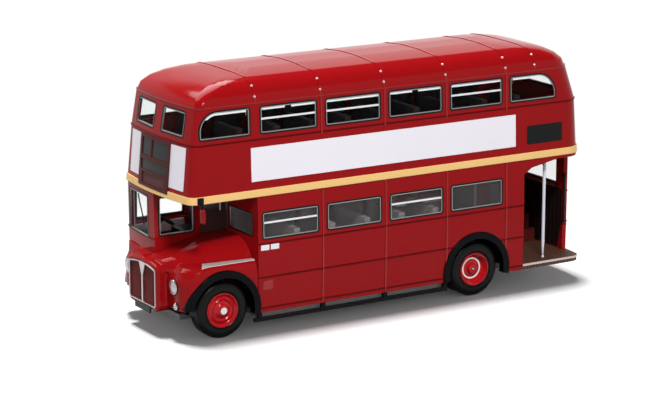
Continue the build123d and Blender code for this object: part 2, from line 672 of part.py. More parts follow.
# Upper saloon moulding: floor and rows of seats
UPPER_ROWS = 9
UPPER_BACK_Z = UPPER_WAIST_Z + 1.4
floor_rows = [between(UPPER_SECTIONS, z) for z in (UPPER_FLOOR_Z - FLOOR_THICK, UPPER_FLOOR_Z)]
upper_saloon = body(floor_rows, WALL + FIT)
upper_half = between(UPPER_SECTIONS, UPPER_BACK_Z).half - WALL - SALOON_GAP
for side in (-1, 1):
    for index in range(UPPER_ROWS):
        x = FRONT_X - 14.7 - index * SEAT_PITCH
        upper_saloon += seat(x, sorted((side * AISLE_HALF, side * upper_half)), UPPER_FLOOR_Z, UPPER_BACK_Z)
save("upper_saloon", upper_saloon)

# Rear platform: inside the walls, and out to the body line in the open corner
platform_plan = LOWER_SECTIONS[0]
platform_z = [PLATFORM_Z - PLATFORM_THICK, PLATFORM_Z]
platform_rows = [platform_plan._replace(z=z) for z in platform_z]
platform = body(platform_rows, WALL + SALOON_GAP)
corner = block((REAR_X - 1, OPENING_FRONT_X - FIT), (REAR_WALL_END_Y + FIT, REACH), (0, LOWER_FLOOR_Z))
platform += body([row._replace(r_rear=PLATFORM_CORNER) for row in platform_rows]) & corner
platform &= block((REAR_X - 1, OPENING_FRONT_X - FIT), ACROSS, (0, LOWER_FLOOR_Z))
save("rear_platform", platform)

# Staircase at the offside rear: up along the rear wall, then forward
STEPS = 7
TURN_STEPS = 3
STAIR_WIDTH = 5.6
step_rise = (UPPER_FLOOR_Z - FLOOR_THICK - PLATFORM_Z) / (STEPS + 1)
stair_x = REAR_X + WALL + 1.4
stair_y = WALL + SALOON_GAP + 0.4 - LOWER_SECTIONS[0].half
across_run = (-stair_y - STAIR_WIDTH - 1.0) / TURN_STEPS
stairs = []
for step in range(STEPS):
    height = (PLATFORM_Z, PLATFORM_Z + (step + 1) * step_rise)
    if step < TURN_STEPS:
        y = -1.0 - step * across_run
        stairs.append(block((stair_x, stair_x + STAIR_WIDTH), (y, stair_y), height))
    else:
        x = stair_x + 2.4 * (step - TURN_STEPS + 1)
        stairs.append(block((x, x + 2.6), (stair_y, stair_y + STAIR_WIDTH), height))
staircase = stairs[0]
for tread in stairs[1:]:
    staircase += tread
save("staircase", staircase & body(LOWER_SECTIONS, WALL + SALOON_GAP, extra=2.0))

# Grab rails: platform pole and the handle on the end of the rear wall
pole_foot = (REAR_X + 10.2, HALF_WIDTH - 3.0, PLATFORM_Z)
pole = rod(RAIL_RADIUS, pole_foot, "Z", UPPER_FLOOR_Z - FLOOR_THICK - PLATFORM_Z)
handle_x = REAR_X + WALL + 0.4
handle_foot = (handle_x, REAR_WALL_END_Y + RAIL_RADIUS + SKIN, RAIL_Z)
handle = rod(RAIL_RADIUS * 0.8, handle_foot, "Z", LOWER_HEAD_Z - RAIL_Z - 3)
save("grab_rails", solids_of([pole, handle]))

# Cab fittings on the cowl's deck: dash, seat, column, steering wheel
WHEEL_TILT = -38
STEERING_RADIUS = 3.1
STEERING_RIM = 0.5
COLUMN_RADIUS = 0.45
COLUMN_LENGTH = 6.0
SEAT_HALF = 3.4
column_y = CAB_WALL_Y - 8.4
wheel_x, wheel_z = FRONT_X - 6.6, SEAM_Z + 5.6
dash_y = (CAB_WALL_Y - 12.4, CAB_WALL_Y - WALL - SALOON_GAP)
dash = block((FRONT_X - 4.9, FRONT_X - 2.9), dash_y, (SEAM_Z, WAIST_Z - 1.6))
cushion_y = (column_y - SEAT_HALF, column_y + SEAT_HALF)
driver_seat = block((BULKHEAD_X + 2.2, BULKHEAD_X + 7.2), cushion_y, (SEAM_Z, SEAM_Z + 2.6))
driver_seat += block((BULKHEAD_X + 1.4, BULKHEAD_X + 2.6), cushion_y, (SEAM_Z, WAIST_Z + 4.0))
tilted = Pos(wheel_x, column_y, wheel_z) * Rot(0, WHEEL_TILT, 0)
column = tilted * Pos(0, 0, -COLUMN_LENGTH / 2) * Cylinder(COLUMN_RADIUS, COLUMN_LENGTH)
fittings = dash + driver_seat + column
save("cab_fittings", fittings)
rim = Cylinder(STEERING_RADIUS, STEERING_RIM) - Cylinder(STEERING_RADIUS - STEERING_RIM, STEERING_RIM)
spoke_reach = 2 * STEERING_RADIUS - STEERING_RIM
spokes = Box(spoke_reach, STEERING_RIM, STEERING_RIM) + Box(STEERING_RIM, spoke_reach, STEERING_RIM)
steering = tilted * Pos(0, 0, STEERING_RIM / 2 + SKIN) * (rim + spokes)
save("steering_wheel", steering - column)

# Base plate between the axles, with bearings and raised running gear
ENGINE_X = (FRONT_AXLE_X - 22.0, FRONT_AXLE_X + 4.0)
ENGINE_HALF = 2.6
ENGINE_DROP = 1.1
SHAFT_RADIUS = 0.9
TANK_X = (BULKHEAD_X - 40.0, BULKHEAD_X - 26.0)
TANK_INNER_Y = 4.2
TANK_DROP = 1.2
BEARING_HALF = 2.0
base_half = WHEEL_FACE_Y - REAR_TYRE_WIDTH - BASE_CLEAR
base_front, base_rear = hollow_x[1] - FIT, OPENING_FRONT_X + 0.2
base = block((base_rear, base_front), (-base_half, base_half), (BASE_BOTTOM_Z, SILL_Z))
rib_y = (base_half - 2.0, base_half - 0.5)
belly_x = (REAR_AXLE_X + ARCH_RADIUS, FRONT_AXLE_X - ARCH_RADIUS - 0.4)
belly_half = LOWER_SECTIONS[0].half - WALL - FIT
base += block(belly_x, (-belly_half, belly_half), (BASE_BOTTOM_Z, SILL_Z))
bearing_top = LOWER_FLOOR_Z - FLOOR_THICK - FIT
base += block(ENGINE_X, (-ENGINE_HALF, ENGINE_HALF), (BASE_BOTTOM_Z - ENGINE_DROP, SILL_Z))
base += rod(SHAFT_RADIUS, (REAR_AXLE_X, 0, BASE_BOTTOM_Z), "X", ENGINE_X[0] - REAR_AXLE_X)
base += block(TANK_X, (TANK_INNER_Y, belly_half - 1.5), (BASE_BOTTOM_Z - TANK_DROP, SILL_Z))
for x in (FRONT_AXLE_X, REAR_AXLE_X):
    bearing_x = (x - BEARING_HALF, x + BEARING_HALF)
    for side in (-1, 1):
        base += block(bearing_x, (side * rib_y[0], side * rib_y[1]), (SILL_Z - 0.3, bearing_top))
    base -= block((x - 1.9, x + 1.9), (-rib_y[0], rib_y[0]), (SILL_Z - 0.3, bearing_top + 1))
    base -= rod(AXLE_RADIUS + AXLE_RUNNING, (x, -REACH, AXLE_Z), "Y", 2 * REACH)
save("base_plate", base)

# Lifeguard rails hung under the sills
GUARD_Z = (2.6, 3.4)
GUARD_POST = 0.5
rails = []
rail_x = (REAR_AXLE_X + ARCH_RADIUS - 0.5, BULKHEAD_X + 0.8)
for side in (-1, 1):
    rail_y = (side * (LOWER_SECTIONS[0].half - 0.95), side * (LOWER_SECTIONS[0].half - 0.15))
    rail = block(rail_x, rail_y, GUARD_Z)
    for index in range(BAY_COUNT):
        x = BULKHEAD_X - 0.6 - index * (BAY_PITCH - 0.2)
        rail += block((x - GUARD_POST, x + GUARD_POST), rail_y, (GUARD_Z[0], SILL_Z - SKIN))
    rails.append(rail)
save("lifeguard_rails", solids_of(rails))

# Wheel arch liners
liner_y = (HALF_WIDTH - WALL - 0.4, HALF_WIDTH - WALL - 6.6)
liners = []
for x in (FRONT_AXLE_X, REAR_AXLE_X):
    for side in (-1, 1):
        start = min(side * liner_y[0], side * liner_y[1])
        tube = rod(ARCH_RADIUS - SKIN, (x, start, AXLE_Z), "Y", liner_y[0] - liner_y[1])
        tube -= rod(ARCH_RADIUS - ARCH_LINER, (x, -REACH, AXLE_Z), "Y", 2 * REACH)
        liners.append(tube & block((x - 20, x + 20), ACROSS, (AXLE_Z, DECK_Z)))
save("arch_liners", solids_of(liners))

# Mirrors on brackets from the cream band
MIRROR_X = FRONT_X - 3.9
MIRROR_CORNER = 0.4
root_y = HALF_WIDTH - 0.29 + BAND_PROUD + SKIN
mirrors = []
for side in (-1, 1):
    head_y = (side * (root_y + 0.1), side * (root_y + 1.4))
    head = block((MIRROR_X, MIRROR_X + 0.7), head_y, (DECK_Z - 4.1, DECK_Z - 0.7))
    head = chamfer(head.edges().filter_by(Axis.X), MIRROR_CORNER)
    bracket_y = (side * root_y, side * (root_y + 0.5))
    bracket = block((MIRROR_X - 0.2, MIRROR_X + 0.9), bracket_y, (DECK_Z + 0.2, DECK_Z + 1.6))
    arm_y = (side * (root_y + 0.15), side * (root_y + 0.5))
    arm = block((MIRROR_X + 0.1, MIRROR_X + 0.5), arm_y, (DECK_Z - 1.2, DECK_Z + 1))
    mirrors.append(head + bracket + arm)
save("mirrors", solids_of(mirrors))

# Wheels, turned about the axle: outlines are (depth in from the face, radius)
Wheel = namedtuple("Wheel", "name x width tyre hub axle_in")


def tyre_outline(width, grooves):
    """Tyre section: bead, bulged sidewall, shoulders and tread, with a gap between twins."""
    tread = TYRE_RADIUS - TYRE_SHOULDER
    points = [(0.3, RIM_RADIUS), (0.0, (RIM_RADIUS + tread) / 2), (0.15, tread), (TYRE_SHOULDER, TYRE_RADIUS)]
    for middle in grooves:
        points += [(middle - 0.45, TYRE_RADIUS), (middle, tread - 0.6), (middle + 0.45, TYRE_RADIUS)]
    return points + [(width - TYRE_SHOULDER, TYRE_RADIUS), (width, tread), (width, RIM_RADIUS)]


RIM_LIP = 0.1


def hub_outline(width, dish, boss, boss_radius):
    """Wheel disc: rim lip, dish, and a boss round the axle."""
    return [
        (RIM_LIP, RIM_RADIUS),
        (RIM_LIP, RIM_RADIUS - 0.35),
        (dish, boss_radius + 0.5),
        (boss, boss_radius),
        (boss, AXLE_RADIUS),
        (width - 0.3, AXLE_RADIUS),
        (width - 0.3, RIM_RADIUS),
    ]


def turned(points, side, x):
    """Solid of revolution of an outline, with its face outboard on one side."""
    face = make_face(Polyline(*[(radius, -depth) for depth, radius in points], close=True))
    solid = revolve(face, Axis.Y)
    if side < 0:
        solid = mirror(solid, Plane.XZ)
    return Pos(x, side * WHEEL_FACE_Y, AXLE_Z) * solid


WHEELS = [
    Wheel(
        "front",
        FRONT_AXLE_X,
        FRONT_TYRE_WIDTH,
        tyre_outline(FRONT_TYRE_WIDTH, []),
        hub_outline(FRONT_TYRE_WIDTH, 0.75, -0.1, 1.35),
        -0.45,
    ),
    Wheel(
        "rear",
        REAR_AXLE_X,
        REAR_TYRE_WIDTH,
        tyre_outline(REAR_TYRE_WIDTH, [REAR_TYRE_WIDTH / 2]),
        hub_outline(REAR_TYRE_WIDTH, 2.0, 1.1, 1.2),
        0.8,
    ),
]
for wheel in WHEELS:
    save(f"{wheel.name}_tyres", solids_of([turned(wheel.tyre, side, wheel.x) for side in (-1, 1)]))
    save(f"{wheel.name}_hubs", solids_of([turned(wheel.hub, side, wheel.x) for side in (-1, 1)]))
    axle_half = WHEEL_FACE_Y - wheel.axle_in
    save(f"{wheel.name}_axle", rod(AXLE_RADIUS, (wheel.x, -axle_half, AXLE_Z), "Y", 2 * axle_half))
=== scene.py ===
"""Looks of a scale-model half-cab double-decker bus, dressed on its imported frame.

The frame is in metres: +X is the front of the bus, +Y its nearside, +Z up. Sizes here are in
millimetres and are turned to metres where a mesh is made.
"""

import json
import logging
import math
from collections.abc import Callable, Iterable, Sequence
from dataclasses import dataclass, field
from enum import Enum
from functools import cache
from itertools import product

import bmesh
import bpy
from mathutils import Matrix, Vector
from mathutils.bvhtree import BVHTree


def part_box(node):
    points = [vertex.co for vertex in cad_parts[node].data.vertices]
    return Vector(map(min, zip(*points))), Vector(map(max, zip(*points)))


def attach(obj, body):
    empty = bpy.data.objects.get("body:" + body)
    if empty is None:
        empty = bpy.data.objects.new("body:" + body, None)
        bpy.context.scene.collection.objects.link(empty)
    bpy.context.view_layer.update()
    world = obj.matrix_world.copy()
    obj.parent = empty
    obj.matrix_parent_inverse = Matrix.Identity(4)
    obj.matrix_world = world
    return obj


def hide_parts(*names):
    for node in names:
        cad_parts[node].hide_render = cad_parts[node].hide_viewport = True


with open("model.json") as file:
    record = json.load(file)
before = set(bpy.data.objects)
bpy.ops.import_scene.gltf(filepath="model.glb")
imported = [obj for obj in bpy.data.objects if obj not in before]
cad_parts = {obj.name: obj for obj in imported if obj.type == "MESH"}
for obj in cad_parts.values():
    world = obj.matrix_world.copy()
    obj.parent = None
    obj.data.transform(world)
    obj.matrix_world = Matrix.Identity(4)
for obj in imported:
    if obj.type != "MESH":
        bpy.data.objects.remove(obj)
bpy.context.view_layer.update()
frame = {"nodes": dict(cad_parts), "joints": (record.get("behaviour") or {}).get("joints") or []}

LOG = logging.getLogger("model_bus")
MM = 0.001
Colour = tuple[float, float, float]
Point = tuple[float, float, float]
Span = tuple[float, float]
Block = tuple[Span, Span, Span]
Options = dict[str | int, object] | None

# Heights and places that the trim shares with the castings, in millimetres
BULKHEAD_X = 34.85
BAY_PITCH = 16.75
PILLARS = tuple(BULKHEAD_X - BAY_PITCH * bay for bay in range(5))
ROOF_BEADS = PILLARS + (-40.4,)
GUTTER_Z = 52.4
UPPER_WAIST_Z = 44.3
LOWER_WAIST_Z = 20.5
RAIL_Z = 12.85
SKIRT_Z = 5.75
PANE_REBATE = 0.36
STRAIGHT_X = (-45.0, 42.0)
OFFSIDE_Y = -2.0

# How far a cut reaches past the end of a form, in millimetres
PAST_MM = 1.0

# Least cosine between the normal of an outer face and the way out of the bus
WALL_OUTWARD = 0.25
ROOF_OUTWARD = 0.3

# Scale of a Wave texture that has one wave in a metre
WAVE_SCALE = 0.314


class Side(Enum):
    """Way that a panel of the bus looks."""

    NEAR = Vector((0, 1, 0))
    OFF = Vector((0, -1, 0))
    FRONT = Vector((1, 0, 0))
    REAR = Vector((-1, 0, 0))
    TOP = Vector((0, 0, 1))


class Value:
    """A shader socket that writes Math nodes through Python's operators."""

    def __init__(self, shader: "Shader", socket: bpy.types.NodeSocket) -> None:
        """Wrap one socket of a shader.

        Args:
            shader: The shader that owns the socket.
            socket: An output socket.
        """
        self.shader = shader
        self.socket = socket

    def _math(self, operation: str, *terms: "Value | float") -> "Value":
        """Add one Math node and wrap what it gives out."""
        node = self.shader.node("ShaderNodeMath", {"operation": operation}, dict(enumerate(terms)))
        return Value(self.shader, node.outputs[0])

    def __add__(self, other: "Value | float") -> "Value":
        """Sum."""
        return self._math("ADD", self, other)

    __radd__ = __add__

    def __sub__(self, other: "Value | float") -> "Value":
        """Difference."""
        return self._math("SUBTRACT", self, other)

    def __rsub__(self, other: "Value | float") -> "Value":
        """Difference from a number."""
        return self._math("SUBTRACT", other, self)

    def __mul__(self, other: "Value | float") -> "Value":
        """Product."""
        return self._math("MULTIPLY", self, other)

    __rmul__ = __mul__

    def larger(self, other: "Value | float") -> "Value":
        """Larger of two values."""
        return self._math("MAXIMUM", self, other)

    def stepped(self, low: float, high: float) -> "Value":
        """Smooth step from nought at low to one at high."""
        settings = {"interpolation_type": "SMOOTHSTEP"}
        node = self.shader.node("ShaderNodeMapRange", settings, {0: self, 1: low, 2: high})
        return Value(self.shader, node.outputs[0])


class Shader:
    """The node tree of one material or world."""

    def __init__(self, tree: bpy.types.NodeTree) -> None:
        """Start an empty tree."""
        self.tree = tree
        tree.nodes.clear()

    def node(self, kind: str, settings: Options = None, inputs: Options = None) -> bpy.types.Node:
        """Add a node.

        Args:
            kind: Blender's type of node.
            settings: Properties to set first; stops are a ramp's positions and colours.
            inputs: Values or links for its sockets, by name or number.

        Returns:
            The new node.
        """
        made = self.tree.nodes.new(kind)
        for key, value in (settings or {}).items():
            if key == "stops":
                self._set_stops(made.color_ramp, value)
            else:
                setattr(made, key, value)
        for key, value in (inputs or {}).items():
            source = value.socket if isinstance(value, Value) else value
            if isinstance(source, bpy.types.NodeSocket):
                self.tree.links.new(source, made.inputs[key])
            else:
                made.inputs[key].default_value = source
        return made

    @staticmethod
    def _set_stops(ramp: bpy.types.ColorRamp, stops: Sequence[tuple[float, Colour]]) -> None:
        """Set a ramp's stops."""
        while len(ramp.elements) < len(stops):
            ramp.elements.new(1.0)
        for element, (position, colour) in zip(ramp.elements, stops):
            element.position = position
            element.color = (*colour, 1.0)

    def value(self, kind: str, output: int | str, settings: Options = None, inputs: Options = None) -> Value:
        """Add a node and wrap one of its outputs."""
        return Value(self, self.node(kind, settings, inputs).outputs[output])

    def place(self) -> bpy.types.NodeSocket:
        """Object coordinates, which are the frame's metres."""
        return self.node("ShaderNodeTexCoord").outputs["Object"]

    def noise(self, per_metre: float, detail: float = 2.0, stretch: Point = (1, 1, 1)) -> Value:
        """Noise in the frame's own coordinates.

        Args:
            per_metre: Noise cells in a metre.
            detail: Octaves.
            stretch: Scale of each axis.

        Returns:
            The noise, about a half.
        """
        placed = self.node("ShaderNodeMapping", None, {"Vector": self.place(), "Scale": stretch})
        inputs = {"Vector": placed.outputs[0], "Scale": per_metre, "Detail": detail}
        return self.value("ShaderNodeTexNoise", 0, None, inputs)

    def waves(self, per_metre: float, axis: str) -> Value:
        """Even waves along one axis of the frame."""
        inputs = {"Vector": self.place(), "Scale": per_metre * WAVE_SCALE, "Distortion": 0.0}
        return self.value("ShaderNodeTexWave", 1, {"bands_direction": axis}, inputs)

    def mixed(self, share: Value, first: Colour, second: Colour) -> bpy.types.NodeSocket:
        """Colour between two by a share."""
        ends = {0: share, 6: (*first, 1.0), 7: (*second, 1.0)}
        return self.node("ShaderNodeMix", {"data_type": "RGBA"}, ends).outputs[2]

    def bump(self, height: Value, depth_mm: float, strength: float = 1.0) -> bpy.types.NodeSocket:
        """Normal from a height pattern of a real depth."""
        inputs = {"Height": height, "Distance": depth_mm * MM, "Strength": strength}
        return self.node("ShaderNodeBump", None, inputs).outputs[0]

    def principled(self, **inputs: object) -> bpy.types.NodeSocket:
        """Principled shader; names use underscores for spaces."""
        named = {key.replace("_", " "): value for key, value in inputs.items()}
        return self.node("ShaderNodeBsdfPrincipled", None, named).outputs[0]

    def surface(self, **inputs: object) -> None:
        """Principled shader, joined to the material's output."""
        self.close(self.principled(**inputs))

    def blend(self, share: Value, first: bpy.types.NodeSocket, second: bpy.types.NodeSocket) -> None:
        """Mix of two shaders by a share, joined to the material's output."""
        self.close(self.node("ShaderNodeMixShader", None, {0: share, 1: first, 2: second}).outputs[0])

    def close(self, shader: bpy.types.NodeSocket) -> None:
        """Join a shader to the material's output."""
        self.node("ShaderNodeOutputMaterial", None, {0: shader})


@dataclass(frozen=True)
class Finish:
    """A surface finish: its colour, how its colour varies, and its gloss."""

    name: str
    colour: Colour
    shade: Colour
    roughness: float
    specular: float = 0.5

    def material(self) -> bpy.types.Material:
        """Blender material of this finish, made once."""
        return made_material(self)

    def dress(self, shader: Shader) -> None:
        """Write the finish's nodes."""
        raise NotImplementedError


@cache
def made_material(finish: Finish) -> bpy.types.Material:
    """Make a finish's material the first time that it is asked for.

    Args:
        finish: The finish.

    Returns:
        Its material.
    """
    material = bpy.data.materials.new(finish.name)
    material.use_nodes = True
    finish.dress(Shader(material.node_tree))
    return material


@dataclass(frozen=True)
class GlossPaint(Finish):
    """Sprayed enamel: a faint unevenness of tone and a soft orange peel."""

    peel_mm: float = 0.004
    coat: float = 0.0

    def dress(self, shader: Shader) -> None:
        """Write the paint's nodes."""
        tone = shader.noise(70, 3.0)
        grain = shader.noise(1500, 2.0)
        shader.surface(
            Base_Color=shader.mixed(tone, self.colour, self.shade),
            Roughness=self.roughness + 0.06 * shader.noise(220, 2.0),
            Specular_IOR_Level=self.specular,
            Coat_Weight=self.coat,
            Coat_Roughness=0.03,
            Normal=shader.bump(grain, self.peel_mm, 0.5),
        )


@dataclass(frozen=True)
class Moulded(Finish):
    """Moulded plastic or rubber: fine grain and a mottled gloss."""

    grain_per_metre: float = 2600
    grain_mm: float = 0.02

    def dress(self, shader: Shader) -> None:
        """Write the moulding's nodes."""
        grain = shader.noise(self.grain_per_metre, 3.0)
        tone = shader.noise(260, 3.0)
        shader.surface(
            Base_Color=shader.mixed(tone, self.colour, self.shade),
            Roughness=self.roughness - 0.1 + 0.2 * tone,
            Specular_IOR_Level=self.specular,
            Normal=shader.bump(grain, self.grain_mm, 0.6),
        )


@dataclass(frozen=True)
class BrightMetal(Finish):
    """Silver trim: brushed along the bus, with a little tarnish."""

    metallic: float = 1.0

    def dress(self, shader: Shader) -> None:
        """Write the metal's nodes."""
        brushed = shader.noise(900, 2.0, (0.15, 1.0, 1.0))
        tarnish = shader.noise(400, 3.0)
        shader.surface(
            Base_Color=shader.mixed(tarnish, self.colour, self.shade),
            Metallic=self.metallic,
            Roughness=self.roughness + 0.12 * brushed,
            Specular_IOR_Level=self.specular,
            Normal=shader.bump(brushed, 0.004, 0.3),
        )


@dataclass(frozen=True)
class ClearGlazing(Finish):
    """Clear plastic glazing: see-through, with a sheen at a slant."""

    clearness: float = 0.9

    def dress(self, shader: Shader) -> None:
        """Write the glazing's nodes."""
        smear = shader.noise(180, 3.0)
        tint = shader.node("ShaderNodeBsdfTransparent", None, {"Color": (*self.colour, 1.0)})
        gloss = shader.principled(
            Base_Color=(*self.shade, 1.0),
            Roughness=self.roughness,
            Specular_IOR_Level=self.specular,
        )
        inside = Value(shader, shader.node("ShaderNodeNewGeometry").outputs["Backfacing"])
        sheen = shader.value("ShaderNodeFresnel", 0, None, {"IOR": 1.25}) * (1.0 - inside)
        share = sheen + (1.0 - self.clearness) * (0.6 + 0.8 * smear)
        shader.blend(share, tint.outputs[0], gloss)


@dataclass(frozen=True)
class Ribbed(Finish):
    """Ribbed or slatted surface: dark lines at an even pitch along one axis."""

    pitch_mm: float = 0.8
    axis: str = "X"
    rib_mm: float = 0.08
    metallic: float = 0.0

    def dress(self, shader: Shader) -> None:
        """Write the ribs' nodes."""
        rib = shader.waves(1.0 / (self.pitch_mm * MM), self.axis)
        worn = shader.noise(500, 3.0)
        shader.surface(
            Base_Color=shader.mixed(rib * (0.8 + 0.4 * worn), self.shade, self.colour),
            Roughness=self.roughness + 0.15 * worn,
            Metallic=self.metallic,
            Specular_IOR_Level=self.specular,
            Normal=shader.bump(rib, self.rib_mm, 0.7),
        )


@dataclass(frozen=True)
class WireMesh(Finish):
    """Woven mesh of an air intake: wires both ways over a dark ground."""

    pitch_mm: float = 0.42

    def dress(self, shader: Shader) -> None:
        """Write the mesh's nodes."""
        count = 1.0 / (self.pitch_mm * MM)
        wires = shader.waves(count, "Y").larger(shader.waves(count, "Z"))
        shader.surface(
            Base_Color=shader.mixed(wires.stepped(0.55, 0.9), self.shade, self.colour),
            Roughness=self.roughness,
            Specular_IOR_Level=self.specular,
            Normal=shader.bump(wires, 0.08, 0.8),
        )


@dataclass(frozen=True)
class LampLens(Finish):
    """Lamp glass over a bright reflector: fine upright flutes."""

    flute_mm: float = 0.22

    def dress(self, shader: Shader) -> None:
        """Write the lens's nodes."""
        flutes = shader.waves(1.0 / (self.flute_mm * MM), "Y")
        shader.surface(
            Base_Color=shader.mixed(flutes, self.shade, self.colour),
            Metallic=0.55,
            Roughness=self.roughness,
            Specular_IOR_Level=self.specular,
            Coat_Weight=1.0,
            Coat_Roughness=0.02,
            Normal=shader.bump(flutes, 0.03, 0.5),
        )


RED = GlossPaint("gloss_red_enamel", (0.300, 0.0045, 0.0062), (0.270, 0.004, 0.0055), 0.06, 0.08)
BEAD_RED = GlossPaint("polished_red_bead", RED.colour, RED.shade, 0.06, 0.1, 0.002, 0.45)
# Level beads: a darker red than the body, painted shade of the thin shadow line along each raised bead.
BEAD_SHADE_RED = GlossPaint("dark_red_bead_painted_shade", (0.110, 0.002, 0.003), (0.095, 0.002, 0.003), 0.2, 0.05)
HUB_RED = GlossPaint("bright_red_wheel_enamel", (0.43, 0.007, 0.011), (0.37, 0.006, 0.009), 0.12, 0.2)
DULL_RED = GlossPaint("dull_red_grille_enamel", (0.190, 0.034, 0.034), (0.145, 0.027, 0.028), 0.34, 0.06)
# Destination box frame: the body red darkened, painted shade of the shaded front face.
SHADED_BOX_RED = GlossPaint("dark_red_sign_frame_painted_shade", (0.085, 0.018, 0.017), (0.065, 0.015, 0.014), 0.3, 0.05)
CREAM = GlossPaint("cream_enamel", (0.90, 0.58, 0.235), (0.84, 0.52, 0.20), 0.2, 0.08)
WHITE_PRINT = GlossPaint("white_printed_panel", (0.86, 0.83, 0.89), (0.82, 0.79, 0.86), 0.32, 0.08, 0.002)
SILVER = BrightMetal("silver_window_trim", (0.38, 0.37, 0.37), (0.28, 0.27, 0.27), 0.26)
BRIGHT_RAIL = BrightMetal("bright_window_rail", (0.86, 0.86, 0.88), (0.74, 0.74, 0.76), 0.3, 0.5, 0.4)
# Near-white strips along the tops of the upper windows, shaped as vent halves: their colour is painted
# light, standing for the bright band of light in the top of the clear glazing.
PALE_VENT_LIGHT = BrightMetal("pale_top_strip_painted_light", (0.90, 0.90, 0.92), (0.82, 0.82, 0.84), 0.4, 0.5, 0.0)
DULL_PLATING = BrightMetal("dull_grille_plating", (0.50, 0.44, 0.43), (0.40, 0.34, 0.33), 0.26)
STEEL = BrightMetal("axle_steel", (0.60, 0.57, 0.57), (0.46, 0.43, 0.43), 0.18)
GASKET = Moulded("black_window_gasket", (0.006, 0.005, 0.005), (0.012, 0.010, 0.010), 0.42, 0.1)
BLACK = Moulded("black_moulded_plastic", (0.005, 0.005, 0.006), (0.009, 0.009, 0.010), 0.34, 0.05)
ARCH_BLACK = GlossPaint(
    "gloss_black_arch_enamel", (0.001, 0.001, 0.002), (0.002, 0.002, 0.003), 0.08, 0.06, 0.002
)
# Base plate: a mid grey that matches the bus's shadow on the floor seen under the skirt and the nose,
# painted shade.
BASE_GREY_FLOOR_SHADE = Moulded("grey_base_plate_painted_floor_shade", (0.20, 0.195, 0.195), (0.26, 0.255, 0.255), 0.5, 0.2)
WELL_BLACK = Moulded("matt_black_wheel_well", (0.002, 0.002, 0.002), (0.003, 0.003, 0.003), 0.8, 0.02)
TYRE = Moulded("black_tyre_rubber", (0.003, 0.003, 0.003), (0.006, 0.006, 0.006), 0.3, 0.1, 1800, 0.02)
BLIND = GlossPaint("black_blind", (0.020, 0.019, 0.018), (0.027, 0.026, 0.025), 0.22, 0.1)
PLATE_BLACK = GlossPaint("blank_black_plate", (0.006, 0.006, 0.006), (0.010, 0.010, 0.010), 0.2, 0.1)
GLASS = ClearGlazing("clear_glazing", (0.985, 0.99, 0.99), (0.02, 0.02, 0.02), 0.04, 0.5, 0.985)
# Opaque pane on the cab's nearside wall: its brown-grey is painted shade of an unlit cab behind glass, with
# painted reflection.
CAB_PANE_SHADE = GlossPaint("dark_quarter_pane_painted_shade", (0.070, 0.032, 0.032), (0.035, 0.016, 0.016), 0.08, 0.3)
HAZY_GLASS = ClearGlazing("hazy_lower_glazing", (0.97, 0.97, 0.97), (0.40, 0.37, 0.38), 0.05, 0.5, 0.95)
UPPER_TRIM = Moulded("dark_upper_saloon_moulding", (0.012, 0.008, 0.009), (0.020, 0.014, 0.015), 0.55, 0.1)
LOWER_TRIM = Moulded("grey_lower_saloon_moulding", (0.22, 0.20, 0.20), (0.30, 0.27, 0.27), 0.55, 0.2)
STAIR_TRIM = Moulded("dark_red_stair_moulding", (0.075, 0.006, 0.007), (0.11, 0.010, 0.010), 0.5, 0.2)
FLOOR_BOARDS = Ribbed("brown_platform_boards", (0.125, 0.056, 0.034), (0.045, 0.019, 0.012), 0.5, 0.2, 0.9)
PALE_EDGE = Moulded("pale_platform_edge", (0.74, 0.62, 0.58), (0.60, 0.47, 0.42), 0.4, 0.3)
POLE_WHITE = Moulded("white_pole_sleeve", (0.74, 0.74, 0.84), (0.66, 0.66, 0.77), 0.3, 0.3)
TREAD_PLATE = Ribbed(
    "pale_tread_plate", (0.66, 0.63, 0.62), (0.40, 0.37, 0.37), 0.36, 0.5, 0.55, "Y", 0.06, 0.3
)
INTAKE = WireMesh("dark_intake_mesh", (0.13, 0.035, 0.035), (0.040, 0.014, 0.016), 0.5, 0.1)
LENS = LampLens("fluted_lamp_glass", (0.52, 0.55, 0.56), (0.20, 0.22, 0.23), 0.1, 0.5)
# Pale pink dome heads on the roof beads: a painted highlight, the glint put into the base colour.
PAINTED_GLINT = GlossPaint("pale_bead_stud_painted_highlight", (0.74, 0.44, 0.42), (0.64, 0.36, 0.34), 0.05, 0.5, 0.001, 1.0)
CAB_GREY = Moulded("pale_grey_cab_lining", (0.78, 0.76, 0.75), (0.68, 0.66, 0.65), 0.5, 0.2)
LAMP_RIM = BrightMetal("dull_lamp_rim", (0.46, 0.42, 0.42), (0.34, 0.30, 0.30), 0.2)
LINING = Ribbed(
    "dark_platform_lining", (0.020, 0.008, 0.008), (0.008, 0.004, 0.004), 0.5, 0.1, 1.6, "Y", 0.05
)
TAIL_RED = GlossPaint("red_lamp_glass", (0.55, 0.01, 0.01), (0.42, 0.008, 0.008), 0.06, 0.5)


